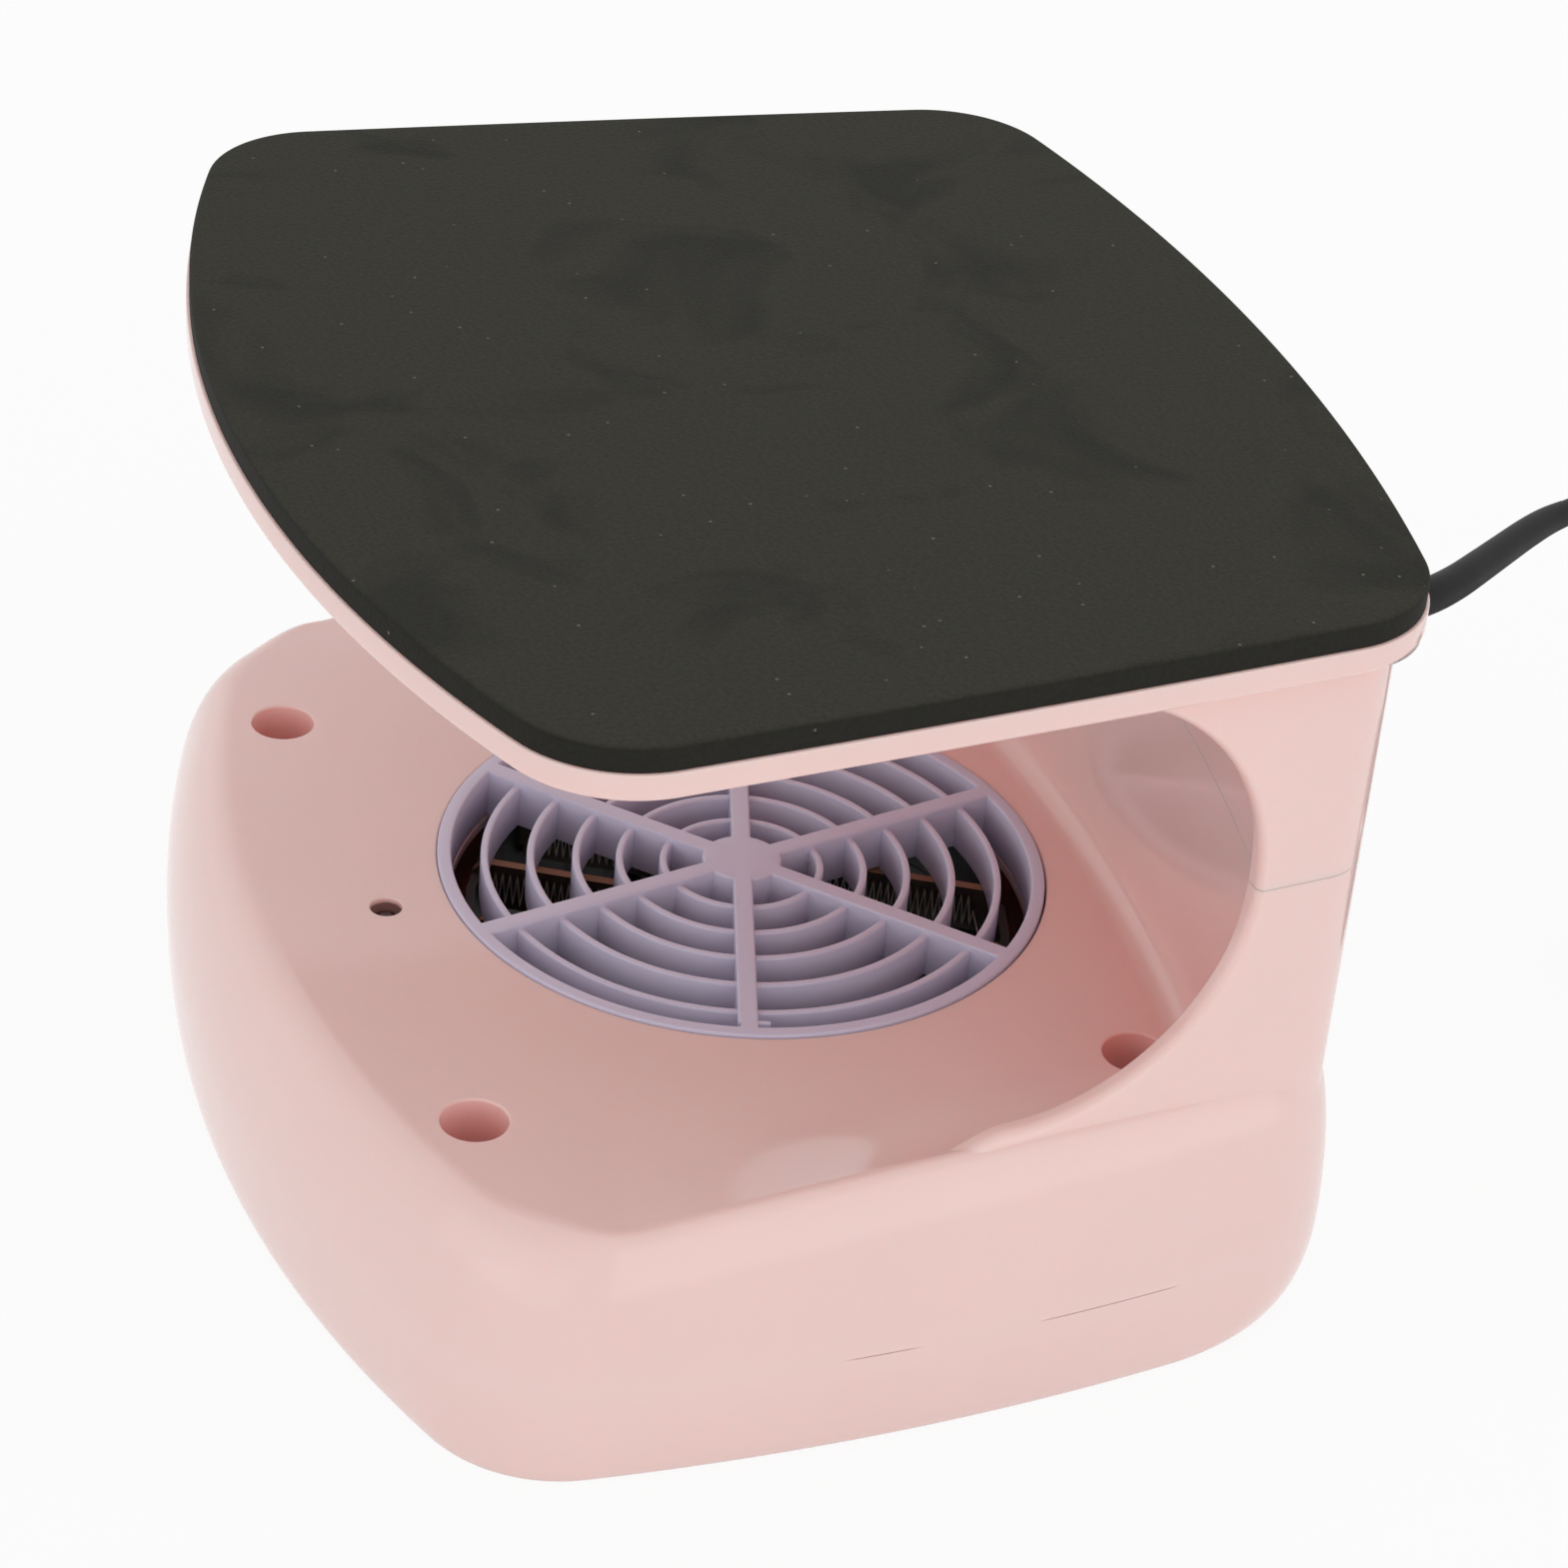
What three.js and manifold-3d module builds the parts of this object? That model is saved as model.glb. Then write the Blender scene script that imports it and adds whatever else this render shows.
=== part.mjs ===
// Nail polish fan dryer, built as the assembly that comes apart on a bench.
//
// The dryer is drawn the way the reference shows it: standing on the outer face of its fan
// housing, with the air outlet looking up at the hand and the base plate, with its foam pad,
// on top. Millimetres, +Z up, -Y is the open mouth where the fingers go in, +Y is the back.
// The pieces are drawn about the fan axis, and the finished group is moved so that the middle
// of its footprint stands at the origin.

import * as THREE from 'three';
import { mergeVertices } from 'three/addons/utils/BufferGeometryUtils.js';
import Module from 'manifold-3d';

const wasm = await Module();
wasm.setup();

// Heights of the whole dryer.
const housing_depth = 40; // outlet face above the surface that the dryer stands on
const mouth_height = 74.8; // outlet face to the plate, the room for the fingers
const plate_thickness = 4.1;
const pad_thickness = 3.7;
const wall = 2.4; // moulded walls of the three shells
const fit = 0.3; // gap between two pieces that seat on each other
const overrun = 5; // how far a cut runs past what it cuts
const weld = 0.0001; // points closer than this are one point

// Plan of the fan housing at its widest line: a front and a rear arc, two side arcs and
// four rounded corners. Front, rear and side are measured from the fan axis.
const housing_front = 83.1;
const housing_front_radius = 203;
const housing_rear = 73.9;
const housing_rear_radius = 346;
const housing_side = 88.7;
const housing_side_radius = 385;
const housing_side_angle = 2.3;
const housing_front_corner = 28;
const housing_rear_corner = 19;

// Plan of the foam pad, which the base plate follows with a thin lip.
const pad_front = 80;
const pad_front_radius = 206;
const pad_rear = 74.2;
const pad_rear_radius = 340;
const pad_side_inset = 1.1; // side of the pad in from the side of the housing
const pad_side = housing_side - pad_side_inset;
const pad_side_radius = 4000;
const pad_side_angle = 5;
const pad_corner = 18;
const pad_edge = 0.7; // eased upper edge of the foam
const plate_lip = 0.45;
const plate_edge = 1;

// Plan of the column. Its front is only the start of the block that the mouth is cut from.
const column_front = 30;
const column_rear = 70.2;
const column_rear_radius = 337;
const column_side_inset = 4.9; // side of the column in from the side of the housing
const column_side = housing_side - column_side_inset;
const column_side_radius = 4000;
const column_side_angle = 5;
const column_corner = 9;
const column_seam_share = 0.5294; // joint across the column, up the height of the mouth
const column_flare = 3; // fillet under the plate

// Sides of the fan housing. The two housing shells meet at its widest line.
const girth_height = 17;
const crest_inset = 6.2; // side crest in from the widest line
const brow_inset = 10.1; // soft front brow in from the widest line
const crest_rise = 5.8; // side crest above the outlet face at its highest
const crest_top_y = 23.4; // where along the side the crest is highest
const crest_radius = 385; // arc along which the crest falls towards the front
const crest_start_y = -45; // the crest has melted into the brow here
const brow_start_y = -62; // from here forward the brow has its full width
const dish_width = 24; // soft slope from the crest in to the level face
const foot_inset = 2.6; // rounding from the widest line down to the flat underside
const foot_front_corner = 23;
const foot_rear_corner = 38;

// Mouth: the cheeks are cut by a full-round slot, the back wall stands behind it.
const sill_height = 7.2; // lowest point of the round cut above the outlet face
const cheek_depth = 43.4; // rearmost point of the round cut behind the fan axis
const cheek_thickness = 2.6;
const cheek_edge = 1.8; // rounding of the cheek's outer edge
const cheek_run = 9; // forward slope in which the cheek melts into the crest
const back_wall = 53.5; // back wall behind the fan axis, at the middle
const back_wall_radius = 340;
const back_wall_foot = 4; // soft fillet at the back wall's foot
const mouth_corner = 5;

// Outlet grille and the ledge in the face shell that carries it.
const grille_radius = 46;
const grille_depth = 8;
const grille_proud = 0.4;
const grille_rim = 2.1;
const grille_hub = 6;
const grille_ring = 1.15;
const grille_spoke = 2.9;
const grille_spokes = 6;
const grille_turn = -18;
const grille_ring_shares = [0.258, 0.402, 0.545, 0.694, 0.845];
const ledge_width = 3.2;
const ledge_clear = 1.2; // heater ring in from the inner edge of the ledge
const ledge_thickness = 1.5;

// Intake grille in the flat underside and its ledge in the outer shell.
const intake_inset = 6.5; // intake grille smaller in radius than the outlet grille
const intake_radius = grille_radius - intake_inset;
const intake_depth = 3;
const intake_sunk = 0.8;
const intake_rim = 2.6;
const intake_hub = 10;
const intake_ring = 1.6;
const intake_spoke = 2.6;
const intake_spokes = 6;
const intake_ring_shares = [0.5, 0.75];

// Screws of the housing, sunk in round wells in the outlet face, and of the column.
const well_radius = 4.8;
const well_depth = 12;
const well_shares = [[0.6, -0.695], [0.68, 0.525]]; // of housing side, and front or rear
const boss_wall = 2;
const boss_radius = 3.9;
const screw_radius = 1.5;
const screw_hole = 1.9;
const screw_head = 3.1;
const screw_head_height = 2.2;
const screw_slot = 1;
const housing_screw_length = 18;
const column_screw_bite = 6.4; // thread of the column screws below the joint
const column_screw_inset = 21.8; // column screws in from the column's side
const column_screw_x = column_side - column_screw_inset;
const column_well_depth = 18;

// Fan duct with its motor spider, motor, shaft and rotor.
const duct_inset = 5.6; // bore of the duct in from the edge of the outlet grille
const duct_inner = grille_radius - duct_inset;
const duct_wall = 2.1;
const duct_height = 15.2;
const duct_ears = 3;
const duct_ear_radius = 4;
const duct_ear_bite = 0.1; // how far an ear reaches into the duct's wall
const duct_ear_reach = duct_inner + duct_wall + duct_ear_radius - duct_ear_bite;
const duct_ear_thickness = 3;
const duct_ear_turn = 12;
const duct_screw_length = 6.5;
const spider_disc = 13;
const spider_thickness = 2;
const spider_arm = 4;
const spider_arms = 3;
const spider_turn = 72;
const rotor_gap = 1.2;
const rotor_hub_radius = 15;
const rotor_hub_wall = 1.3;
const rotor_hub_height = 9.4;
const blade_count = 7;
const blade_thickness = 1.2;
const blade_root_angle = 42;
const blade_tip_angle = 24;
const motor_radius = 12;
const motor_height = 8.6;
const motor_neck_radius = 3.2;
const motor_neck_height = 1;
const motor_screw_radius = 1;
const motor_screw_reach = 8;
const motor_screw_length = 5;
const shaft_radius = 1;

// Heater: a ring on the duct, three mica strips across it and wire bent to and fro.
const heater_ring_radius = grille_radius - ledge_width - ledge_clear;
const heater_ring_wall = 1.4;
const heater_turn = 60;
const heater_pitch = 15;
const heater_strip = 1.6;
const heater_foot = 2.2;
const heater_slot = 4;
const wire_radius = 0.3;
const wire_bends = 20;
const wire_step = 2.5;
const wire_drop = 1.6; // wire below the strips' upper edge
const cutout_radius = 3.9;
const cutout_thickness = 3.6;
const fuse_radius = 1.5;
const fuse_length = 9;

// Control board with the sensor that finds the hand.
const sensor_clear = 9.7; // sensor out from the edge of the outlet grille
const sensor_y = -(grille_radius + sensor_clear);
const sensor_hole = 2.5;
const sensor_radius = 2.1;
const sensor_length = 8;
const sensor_sunk = 1.4;
const board_length = 70;
const board_width = 13;
const board_thickness = 1.6;
const board_post = 3;
const board_screw_x = 30;
const board_screw_length = 7;
const relay_length = 18;
const relay_width = 10;
const relay_height = 11;
const capacitor_radius = 4;
const capacitor_height = 9;
const board_part_x = 15;

// Rocker switch in the column's rear wall.
const switch_drop = 17.8; // its middle below the plate
const bezel_width = 15;
const bezel_height = 21;
const bezel_thickness = 1.6;
const bezel_corner = 1.6;
const switch_width = 13;
const switch_height = 19;
const switch_depth = 9.4;
const rocker_width = 8.6;
const rocker_height = 14;
const rocker_thickness = 3;
const rocker_gap = 0.7;
const rocker_angle = 9; // rest angle either way

// Mains lead.
const cord_radius = 1.9;
const gland_x = 45;
const gland_drop = 14.8; // below the plate
const gland_flange_radius = 5.4;
const gland_flange = 2;
const gland_neck_radius = 3.9;
const gland_latch = 0.5;
const relief_length = 54;
const relief_root = 3.4;
const relief_tip = 2.15;
const lead_steps = 20;
const lead_sides = 8;

// Coil of the spare lead: layers that spiral in and out, laid behind the dryer.
const coil_radius = 21; // middle of the turns
const coil_layers = 4;
const coil_turns = 2.25; // turns in one layer
const coil_pitch = 4.3; // turn to turn, and layer to layer
const coil_steps = 24;
const coil_sides = 6;
const coil_tail = 22; // straight run from the last turn to the plug

// Plug, flat two-pin.
const plug_length = 34;
const plug_width = 35;
const plug_neck = 4;
const plug_thickness = 13.6;
const plug_edge = 1.5;
const pin_radius = 2;
const pin_length = 19;
const pin_spacing = 18.6;

// Worked out from the sizes above.
const radian = Math.PI / 180;
const face_z = housing_depth;
const plate_bottom = face_z + mouth_height;
const plate_top = plate_bottom + plate_thickness;
const seam_z = face_z + mouth_height * column_seam_share;
const column_screw_seat = plate_top - column_well_depth + fit;
const column_screw_length = column_screw_seat - seam_z + column_screw_bite;
const ledge_z = face_z + grille_proud - grille_depth - fit;
const well_floor = face_z - well_depth;
const boss_top = well_floor - wall - fit;
const intake_ledge = intake_sunk + intake_depth + fit;
const duct_low = intake_ledge + wall + fit;
const duct_high = duct_low + duct_height;
const motor_high = duct_high - spider_thickness - fit;
const motor_low = motor_high - motor_height;
const heater_low = duct_high + fit;
const heater_high = ledge_z - ledge_thickness - fit;
const strip_high = ledge_z;
const board_low = face_z - wall - sensor_length - board_thickness;
const board_high = board_low + board_thickness;
const gland_y = column_rear - gland_x ** 2 / (2 * column_rear_radius);
const gland_z = plate_bottom - gland_drop;
const switch_z = plate_bottom - switch_drop;
const rocker_y = column_rear + bezel_thickness / 2;
const coil_top = cord_radius + (coil_layers - 1) * coil_pitch;

function finish(color, roughness, metalness) {
  return new THREE.MeshStandardMaterial({ color, roughness, metalness });
}

const pink = () => finish(0xd9aaa4, 0.38, 0);
const lilac = () => finish(0xafa0b4, 0.42, 0);
const black_plastic = () => finish(0x232426, 0.5, 0);
const steel = () => finish(0xb8bbbf, 0.3, 1);

// A closed geometry as a solid that can be cut and joined.
function solid(geometry) {
  const bare = geometry.clone();
  bare.deleteAttribute('normal');
  bare.deleteAttribute('uv');
  const merged = mergeVertices(bare, weld);
  const corners = Array.from(merged.index.array);
  const kept = [];
  for (let k = 0; k < corners.length; k += 3) {
    const [a, b, c] = corners.slice(k, k + 3);
    if (a !== b && b !== c && c !== a) {
      kept.push(a, b, c);
    }
  }
  const vertProperties = Float32Array.from(merged.attributes.position.array);
  const mesh = new wasm.Mesh({ numProp: 3, vertProperties, triVerts: Uint32Array.from(kept) });
  return new wasm.Manifold(mesh);
}

function surface(shape) {
  const mesh = shape.getMesh();
  const geometry = new THREE.BufferGeometry();
  geometry.setAttribute('position', new THREE.BufferAttribute(mesh.vertProperties, 3));
  geometry.setIndex(new THREE.BufferAttribute(mesh.triVerts, 1));
  geometry.computeVertexNormals();
  return geometry;
}

// Profile of [radius, z] points turned about an upright axis at x, y.
function revolved(profile, sides, x = 0, y = 0) {
  const points = profile.map(([radius, z]) => new THREE.Vector2(radius, z));
  return new THREE.LatheGeometry(points, sides).rotateX(Math.PI / 2).translate(x, y, 0);
}

function rod(x, y, low, high, radius, sides = 12) {
  return solid(revolved([[0, low], [radius, low], [radius, high], [0, high]], sides, x, y));
}

function sleeve(low, high, inner, outer, sides = 32) {
  const profile = [[inner, low], [outer, low], [outer, high], [inner, high], [inner, low]];
  return solid(revolved(profile, sides));
}

function block(x, y, low, high, width, depth) {
  return new THREE.BoxGeometry(width, depth, high - low).translate(x, y, (low + high) / 2);
}

// Where two circles meet, on the right or the left of the way from a to b.
function meeting(a, radius_a, b, radius_b, side) {
  const dx = b.x - a.x;
  const dy = b.y - a.y;
  const apart = Math.hypot(dx, dy);
  const along = (radius_a ** 2 - radius_b ** 2 + apart ** 2) / (2 * apart);
  const off = side * Math.sqrt(Math.max(radius_a ** 2 - along ** 2, 0));
  return { x: a.x + (along * dx + off * dy) / apart, y: a.y + (along * dy - off * dx) / apart };
}

// Plan outline as points with outward normals, anticlockwise from the middle of the front.
// Each arc keeps its number of points, so that outlines of other corners can be joined.
function outline(form) {
  const angle = form.side_angle * radian;
  const side_centre = {
    x: form.side - form.side_radius * Math.cos(angle),
    y: -form.side_radius * Math.sin(angle),
  };
  const front_centre = { x: 0, y: form.front_radius - form.front };
  const rear_centre = { x: 0, y: form.rear - form.rear_radius };
  const a = meeting(front_centre, form.front_radius - form.front_corner,
    side_centre, form.side_radius - form.front_corner, -1);
  const b = meeting(rear_centre, form.rear_radius - form.rear_corner,
    side_centre, form.side_radius - form.rear_corner, 1);
  const turn_a = Math.atan2(a.y - front_centre.y, a.x);
  const turn_b = Math.atan2(a.y - side_centre.y, a.x - side_centre.x);
  const turn_c = Math.atan2(b.y - side_centre.y, b.x - side_centre.x);
  const turn_d = Math.atan2(b.y - rear_centre.y, b.x);
  const arcs = [
    [front_centre, form.front_radius, -Math.PI / 2, turn_a, 3],
    [a, form.front_corner, turn_a, turn_b, 4],
    [side_centre, form.side_radius, turn_b, turn_c, 3],
    [b, form.rear_corner, turn_c, turn_d, 4],
    [rear_centre, form.rear_radius, turn_d, Math.PI / 2, 3],
  ];
  const half = [];
  for (const [centre, radius, from, to, steps] of arcs) {
    for (let k = 0; k < steps; k += 1) {
      const turn = from + ((to - from) * k) / steps;
      const nx = Math.cos(turn);
      const ny = Math.sin(turn);
      half.push({ x: centre.x + radius * nx, y: centre.y + radius * ny, nx, ny });
    }
  }
  const rear = { x: 0, y: form.rear, nx: 0, ny: 1 };
  const other = half.slice(1).reverse().map((p) => ({ ...p, x: -p.x, nx: -p.nx }));
  return [...half, rear, ...other];
}

const housing_form = {
  front: housing_front,
  front_radius: housing_front_radius,
  rear: housing_rear,
  rear_radius: housing_rear_radius,
  side: housing_side,
  side_radius: housing_side_radius,
  side_angle: housing_side_angle,
  front_corner: housing_front_corner,
  rear_corner: housing_rear_corner,
};

const pad_form = {
  front: pad_front,
  front_radius: pad_front_radius,
  rear: pad_rear,
  rear_radius: pad_rear_radius,
  side: pad_side,
  side_radius: pad_side_radius,
  side_angle: pad_side_angle,
  front_corner: pad_corner,
  rear_corner: pad_corner,
};

const column_form = {
  front: column_front,
  front_radius: pad_front_radius,
  rear: column_rear,
  rear_radius: column_rear_radius,
  side: column_side,
  side_radius: column_side_radius,
  side_angle: column_side_angle,
  front_corner: column_corner,
  rear_corner: column_corner,
};

const mouth_form = {
  ...column_form,
  front: pad_front,
  rear: back_wall,
  rear_radius: back_wall_radius,
  side: column_side - cheek_thickness,
  rear_corner: mouth_corner,
};

function ring(points, inset, z) {
  return points.map((p) => new THREE.Vector3(p.x - p.nx * inset, p.y - p.ny * inset, z));
}

// Closed skin through rings of equal counts, each end closed from its middle.
function loft(rings) {
  const count = rings[0].length;
  const last = (rings.length - 1) * count;
  const positions = rings.flat();
  const middle = (points) => {
    const sum = points.reduce((all, p) => all.add(p), new THREE.Vector3());
    return sum.divideScalar(points.length);
  };
  const first_middle = positions.length;
  positions.push(middle(rings[0]), middle(rings[rings.length - 1]));
  const index = [];
  for (let k = 0; k < count; k += 1) {
    const next = (k + 1) % count;
    index.push(first_middle, next, k, first_middle + 1, last + k, last + next);
    for (let row = 0; row < last; row += count) {
      index.push(row + k, row + next, row + count + next);
      index.push(row + k, row + count + next, row + count + k);
    }
  }
  const flat = positions.flatMap((p) => [p.x, p.y, p.z]);
  const geometry = new THREE.BufferGeometry();
  geometry.setAttribute('position', new THREE.Float32BufferAttribute(flat, 3));
  geometry.setIndex(index);
  return geometry;
}

function prism(form, inset, low, high) {
  const points = outline(form);
  return solid(loft([ring(points, inset, low), ring(points, inset, high)]));
}

// Height of the side crest above the outlet face.
function crest_height(y) {
  const ahead = Math.max(crest_top_y - y, 0);
  return Math.max(crest_rise - ahead ** 2 / (2 * crest_radius), 0);
}

// How far in from the widest line the crest lies: towards the front it widens into the brow.
function crest_place(y) {
  const share = THREE.MathUtils.smoothstep(-y, -crest_start_y, -brow_start_y);
  return THREE.MathUtils.lerp(crest_inset, brow_inset, share);
}

// Outlet face: level in the middle, with a soft slope up to each side crest.
function face_rise(x, y) {
  const start = housing_side - crest_inset - dish_width;
  const share = THREE.MathUtils.clamp((Math.abs(x) - start) / dish_width, 0, 1);
  return crest_height(y) * share ** 2;
}

// Skin of the upper housing, moved in by gap: up the bulging side from base, over the crest
// and in across the outlet face.
function upper_skin(gap, base, side_steps, face_shares) {
  const points = outline(housing_form);
  const rings = [ring(points, gap, base)];
  for (let k = 0; k <= side_steps; k += 1) {
    const turn = (k / side_steps) * (Math.PI / 2);
    rings.push(points.map((p) => {
      const inset = crest_place(p.y) * (1 - Math.cos(turn)) + gap;
      const rise = face_z + crest_height(p.y) - gap - girth_height;
      const z = Math.max(girth_height + rise * Math.sin(turn), base);
      return new THREE.Vector3(p.x - p.nx * inset, p.y - p.ny * inset, z);
    }));
  }
  const crest = rings[rings.length - 1];
  for (const share of face_shares) {
    rings.push(crest.map(({ x, y }) => new THREE.Vector3(
      x * share, y * share, face_z + face_rise(x * share, y * share) - gap)));
  }
  return solid(loft(rings));
}

// Column as a full block, flared out where it meets the plate.
function column_block(low, high, flare) {
  const points = outline(column_form);
  const rings = [ring(points, 0, low)];
  const turns = flare > 0 ? [0, 30, 60, 90] : [0];
  for (const turn of turns) {
    const out = flare * (1 - Math.cos(turn * radian));
    rings.push(ring(points, -out, high - flare + flare * Math.sin(turn * radian)));
  }
  return solid(loft(rings));
}

// Slot that opens both cheeks, grown a little towards the outside so that the edge is round.
function cheek_slot() {
  const radius = (mouth_height - sill_height) / 2;
  const centre_y = cheek_depth - radius;
  const centre_z = face_z + sill_height + radius;
  const lean = Math.tan(column_side_angle * radian);
  const front = -pad_front - overrun;
  const station = (out, grow) => {
    const reach = radius + grow;
    const points = [];
    const steps = 12;
    for (let k = 0; k <= steps; k += 1) {
      const turn = Math.PI * (k / steps - 1 / 2);
      points.push([centre_y + reach * Math.cos(turn), centre_z + reach * Math.sin(turn)]);
    }
    points.push([front, centre_z + reach]);
    points.push([front, face_z - wall * 2]);
    points.push([centre_y - cheek_run, face_z - wall * 2]);
    points.push([centre_y - cheek_run, face_z + sill_height / 2 - grow]);
    return points.map(([y, z]) => new THREE.Vector3(
      column_side - y * lean + out, y, Math.min(z, plate_bottom)));
  };
  const stations = [station(-overrun, 0), station(-cheek_edge, 0)];
  for (const turn of [45, 90]) {
    const out = cheek_edge * (Math.sin(turn * radian) - 1);
    stations.push(station(out, cheek_edge * (1 - Math.cos(turn * radian))));
  }
  stations.push(station(overrun, cheek_edge));
  const right = solid(loft(stations));
  return right.add(right.mirror([1, 0, 0]));
}

// Room between the cheeks, with a soft foot from its level floor to the back wall.
function mouth_room() {
  const points = outline(mouth_form);
  const rings = [0, 30, 60, 90].map((turn) => {
    const inset = back_wall_foot * (1 - Math.sin(turn * radian));
    return ring(points, inset, face_z + back_wall_foot * (1 - Math.cos(turn * radian)));
  });
  rings.push(ring(points, 0, plate_bottom));
  return solid(loft(rings));
}

const mouth = cheek_slot().add(mouth_room());

// Hollow of the column behind the back wall.
function column_hollow(low, high) {
  const ahead = prism(mouth_form, -wall, low - overrun, high + overrun);
  return prism(column_form, wall, low, high).subtract(ahead);
}

// Column screws stand in the middle of the hollow's depth.
function column_screw_place(side) {
  const rear = column_rear - column_screw_x ** 2 / (2 * column_rear_radius);
  const front = back_wall - column_screw_x ** 2 / (2 * back_wall_radius);
  return [side * column_screw_x, (rear + front) / 2];
}

// Boss in the column with a rib that ties it to the column's front and rear walls.
function column_boss(side, low, high, radius) {
  const [x, y] = column_screw_place(side);
  const rib = block(x, y, low, high, wall / 2, column_rear - back_wall - wall);
  return rod(x, y, low, high, radius).add(solid(rib));
}

function well_places() {
  return well_shares.flatMap(([across, along]) => {
    const y = along * (along < 0 ? housing_front : housing_rear);
    return [[across * housing_side, y], [-across * housing_side, y]];
  });
}

// Outlet face, upper half of the fan housing and lower half of the column in one moulding.
function face_shell() {
  const skin = upper_skin(0, girth_height + fit / 2, 5, [0.92, 0.82, 0.72]);
  const cavity = upper_skin(wall, girth_height - overrun, 3, [0.78]);
  const column = column_block(face_z - wall, seam_z - fit / 2, 0).subtract(mouth);
  let shell = skin.add(column).subtract(cavity);
  shell = shell.subtract(column_hollow(girth_height, seam_z + overrun));

  const bore = grille_radius + fit;
  const ledge_low = ledge_z - ledge_thickness;
  shell = shell.subtract(rod(0, 0, ledge_z, face_z + overrun, bore, 32));
  shell = shell.add(sleeve(ledge_low, face_z - wall / 2, bore, bore + wall));
  shell = shell.add(sleeve(ledge_low, ledge_z, bore - ledge_width, bore + wall / 2));

  for (const [x, y] of well_places()) {
    shell = shell.add(rod(x, y, well_floor - wall, face_z - wall / 2, well_radius + boss_wall));
    shell = shell.subtract(rod(x, y, well_floor, face_z + overrun, well_radius, 16));
    shell = shell.subtract(rod(x, y, well_floor - overrun, well_floor + fit, screw_hole, 10));
  }

  const barrel_low = board_high + fit * 2;
  shell = shell.add(rod(0, sensor_y, barrel_low, face_z - wall / 2, sensor_hole + boss_wall));
  shell = shell.subtract(rod(0, sensor_y, board_low, face_z + overrun, sensor_hole));
  for (const side of [-1, 1]) {
    const x = side * board_screw_x;
    shell = shell.add(rod(x, sensor_y, board_high + fit, face_z - wall / 2, board_post, 12));
    shell = shell.subtract(rod(x, sensor_y, board_low, board_low + board_screw_length,
      screw_radius + fit, 10));
  }

  for (const side of [-1, 1]) {
    const [x, y] = column_screw_place(side);
    shell = shell.add(column_boss(side, face_z, seam_z - fit / 2, boss_radius));
    shell = shell.subtract(rod(x, y, seam_z - column_screw_length, seam_z + overrun,
      screw_radius + fit, 12));
  }
  return shell;
}

// Plate that carries the foam pad, with the upper half of the column under it.
function base_shell() {
  const column = column_block(seam_z + fit / 2, plate_bottom, column_flare).subtract(mouth);
  let shell = column.subtract(column_hollow(seam_z - overrun, plate_bottom));
  const rim = outline(pad_form);
  const plate = solid(loft([
    ring(rim, plate_edge - plate_lip, plate_bottom),
    ring(rim, plate_edge / 3 - plate_lip, plate_bottom + plate_edge / 3),
    ring(rim, -plate_lip, plate_bottom + plate_edge),
    ring(rim, -plate_lip, plate_top),
  ]));
  shell = shell.add(plate.subtract(prism(pad_form, wall, plate_bottom + wall, plate_top + overrun)));

  const rib_low = plate_bottom + wall / 2;
  const rib_high = plate_top - fit;
  const spacing = pad_side / 2;
  const inside = prism(pad_form, wall / 2, plate_bottom, plate_top);
  for (const k of [-1, 0, 1]) {
    const along = block(k * spacing, 0, rib_low, rib_high, wall / 2, pad_side * 2);
    const across = block(0, k * spacing, rib_low, rib_high, pad_side * 3, wall / 2);
    shell = shell.add(solid(along).intersect(inside)).add(solid(across).intersect(inside));
  }

  for (const side of [-1, 1]) {
    const [x, y] = column_screw_place(side);
    const well = screw_head + fit;
    const floor = plate_top - column_well_depth;
    shell = shell.add(column_boss(side, seam_z + fit / 2, rib_high, well + boss_wall));
    shell = shell.subtract(rod(x, y, floor, plate_top + overrun, well));
    shell = shell.subtract(rod(x, y, seam_z - overrun, floor + fit, screw_hole, 12));
  }

  const gap = fit * 2;
  const opening = block(0, column_rear, switch_z - switch_height / 2 - fit,
    switch_z + switch_height / 2 + fit, switch_width + gap, wall * 4);
  shell = shell.subtract(solid(opening));
  return shell.subtract(gland_bar(gland_neck_radius + fit, -wall * 3, wall * 3));
}

// Other half of the fan housing, with the air intake in its flat underside.
function outer_shell() {
  const skin = (gap, low, high, levels) => solid(loft(levels.map((level) => {
    const share = 1 - Math.sqrt(1 - (1 - level) ** 2);
    const form = {
      ...housing_form,
      front_corner: THREE.MathUtils.lerp(housing_front_corner, foot_front_corner, share),
      rear_corner: THREE.MathUtils.lerp(housing_rear_corner, foot_rear_corner, share),
    };
    return ring(outline(form), foot_inset * share + gap, THREE.MathUtils.lerp(low, high, level));
  })));
  const high = girth_height - fit / 2;
  const outside = skin(0, 0, high, [0, 0.015, 0.07, 0.2, 0.45, 1]);
  let shell = outside.subtract(skin(wall, wall, girth_height + overrun, [0, 0.1, 1]));

  const bore = intake_radius + fit;
  shell = shell.subtract(rod(0, 0, -overrun, intake_ledge, bore, 32));
  shell = shell.add(sleeve(wall / 2, intake_ledge + wall, bore, bore + wall));
  shell = shell.add(sleeve(intake_ledge, intake_ledge + wall, bore - wall, bore + wall / 2));

  for (const [x, y] of well_places()) {
    shell = shell.add(rod(x, y, wall / 2, boss_top, boss_radius));
    shell = shell.subtract(rod(x, y, wall, boss_top + overrun, screw_radius + fit, 12));
  }
  for (const [x, y] of duct_ear_places()) {
    shell = shell.add(rod(x, y, wall / 2, duct_low - fit, duct_ear_radius, 12));
    shell = shell.subtract(rod(x, y, wall, duct_low + overrun, screw_radius + fit, 10));
  }
  return shell;
}

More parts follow.
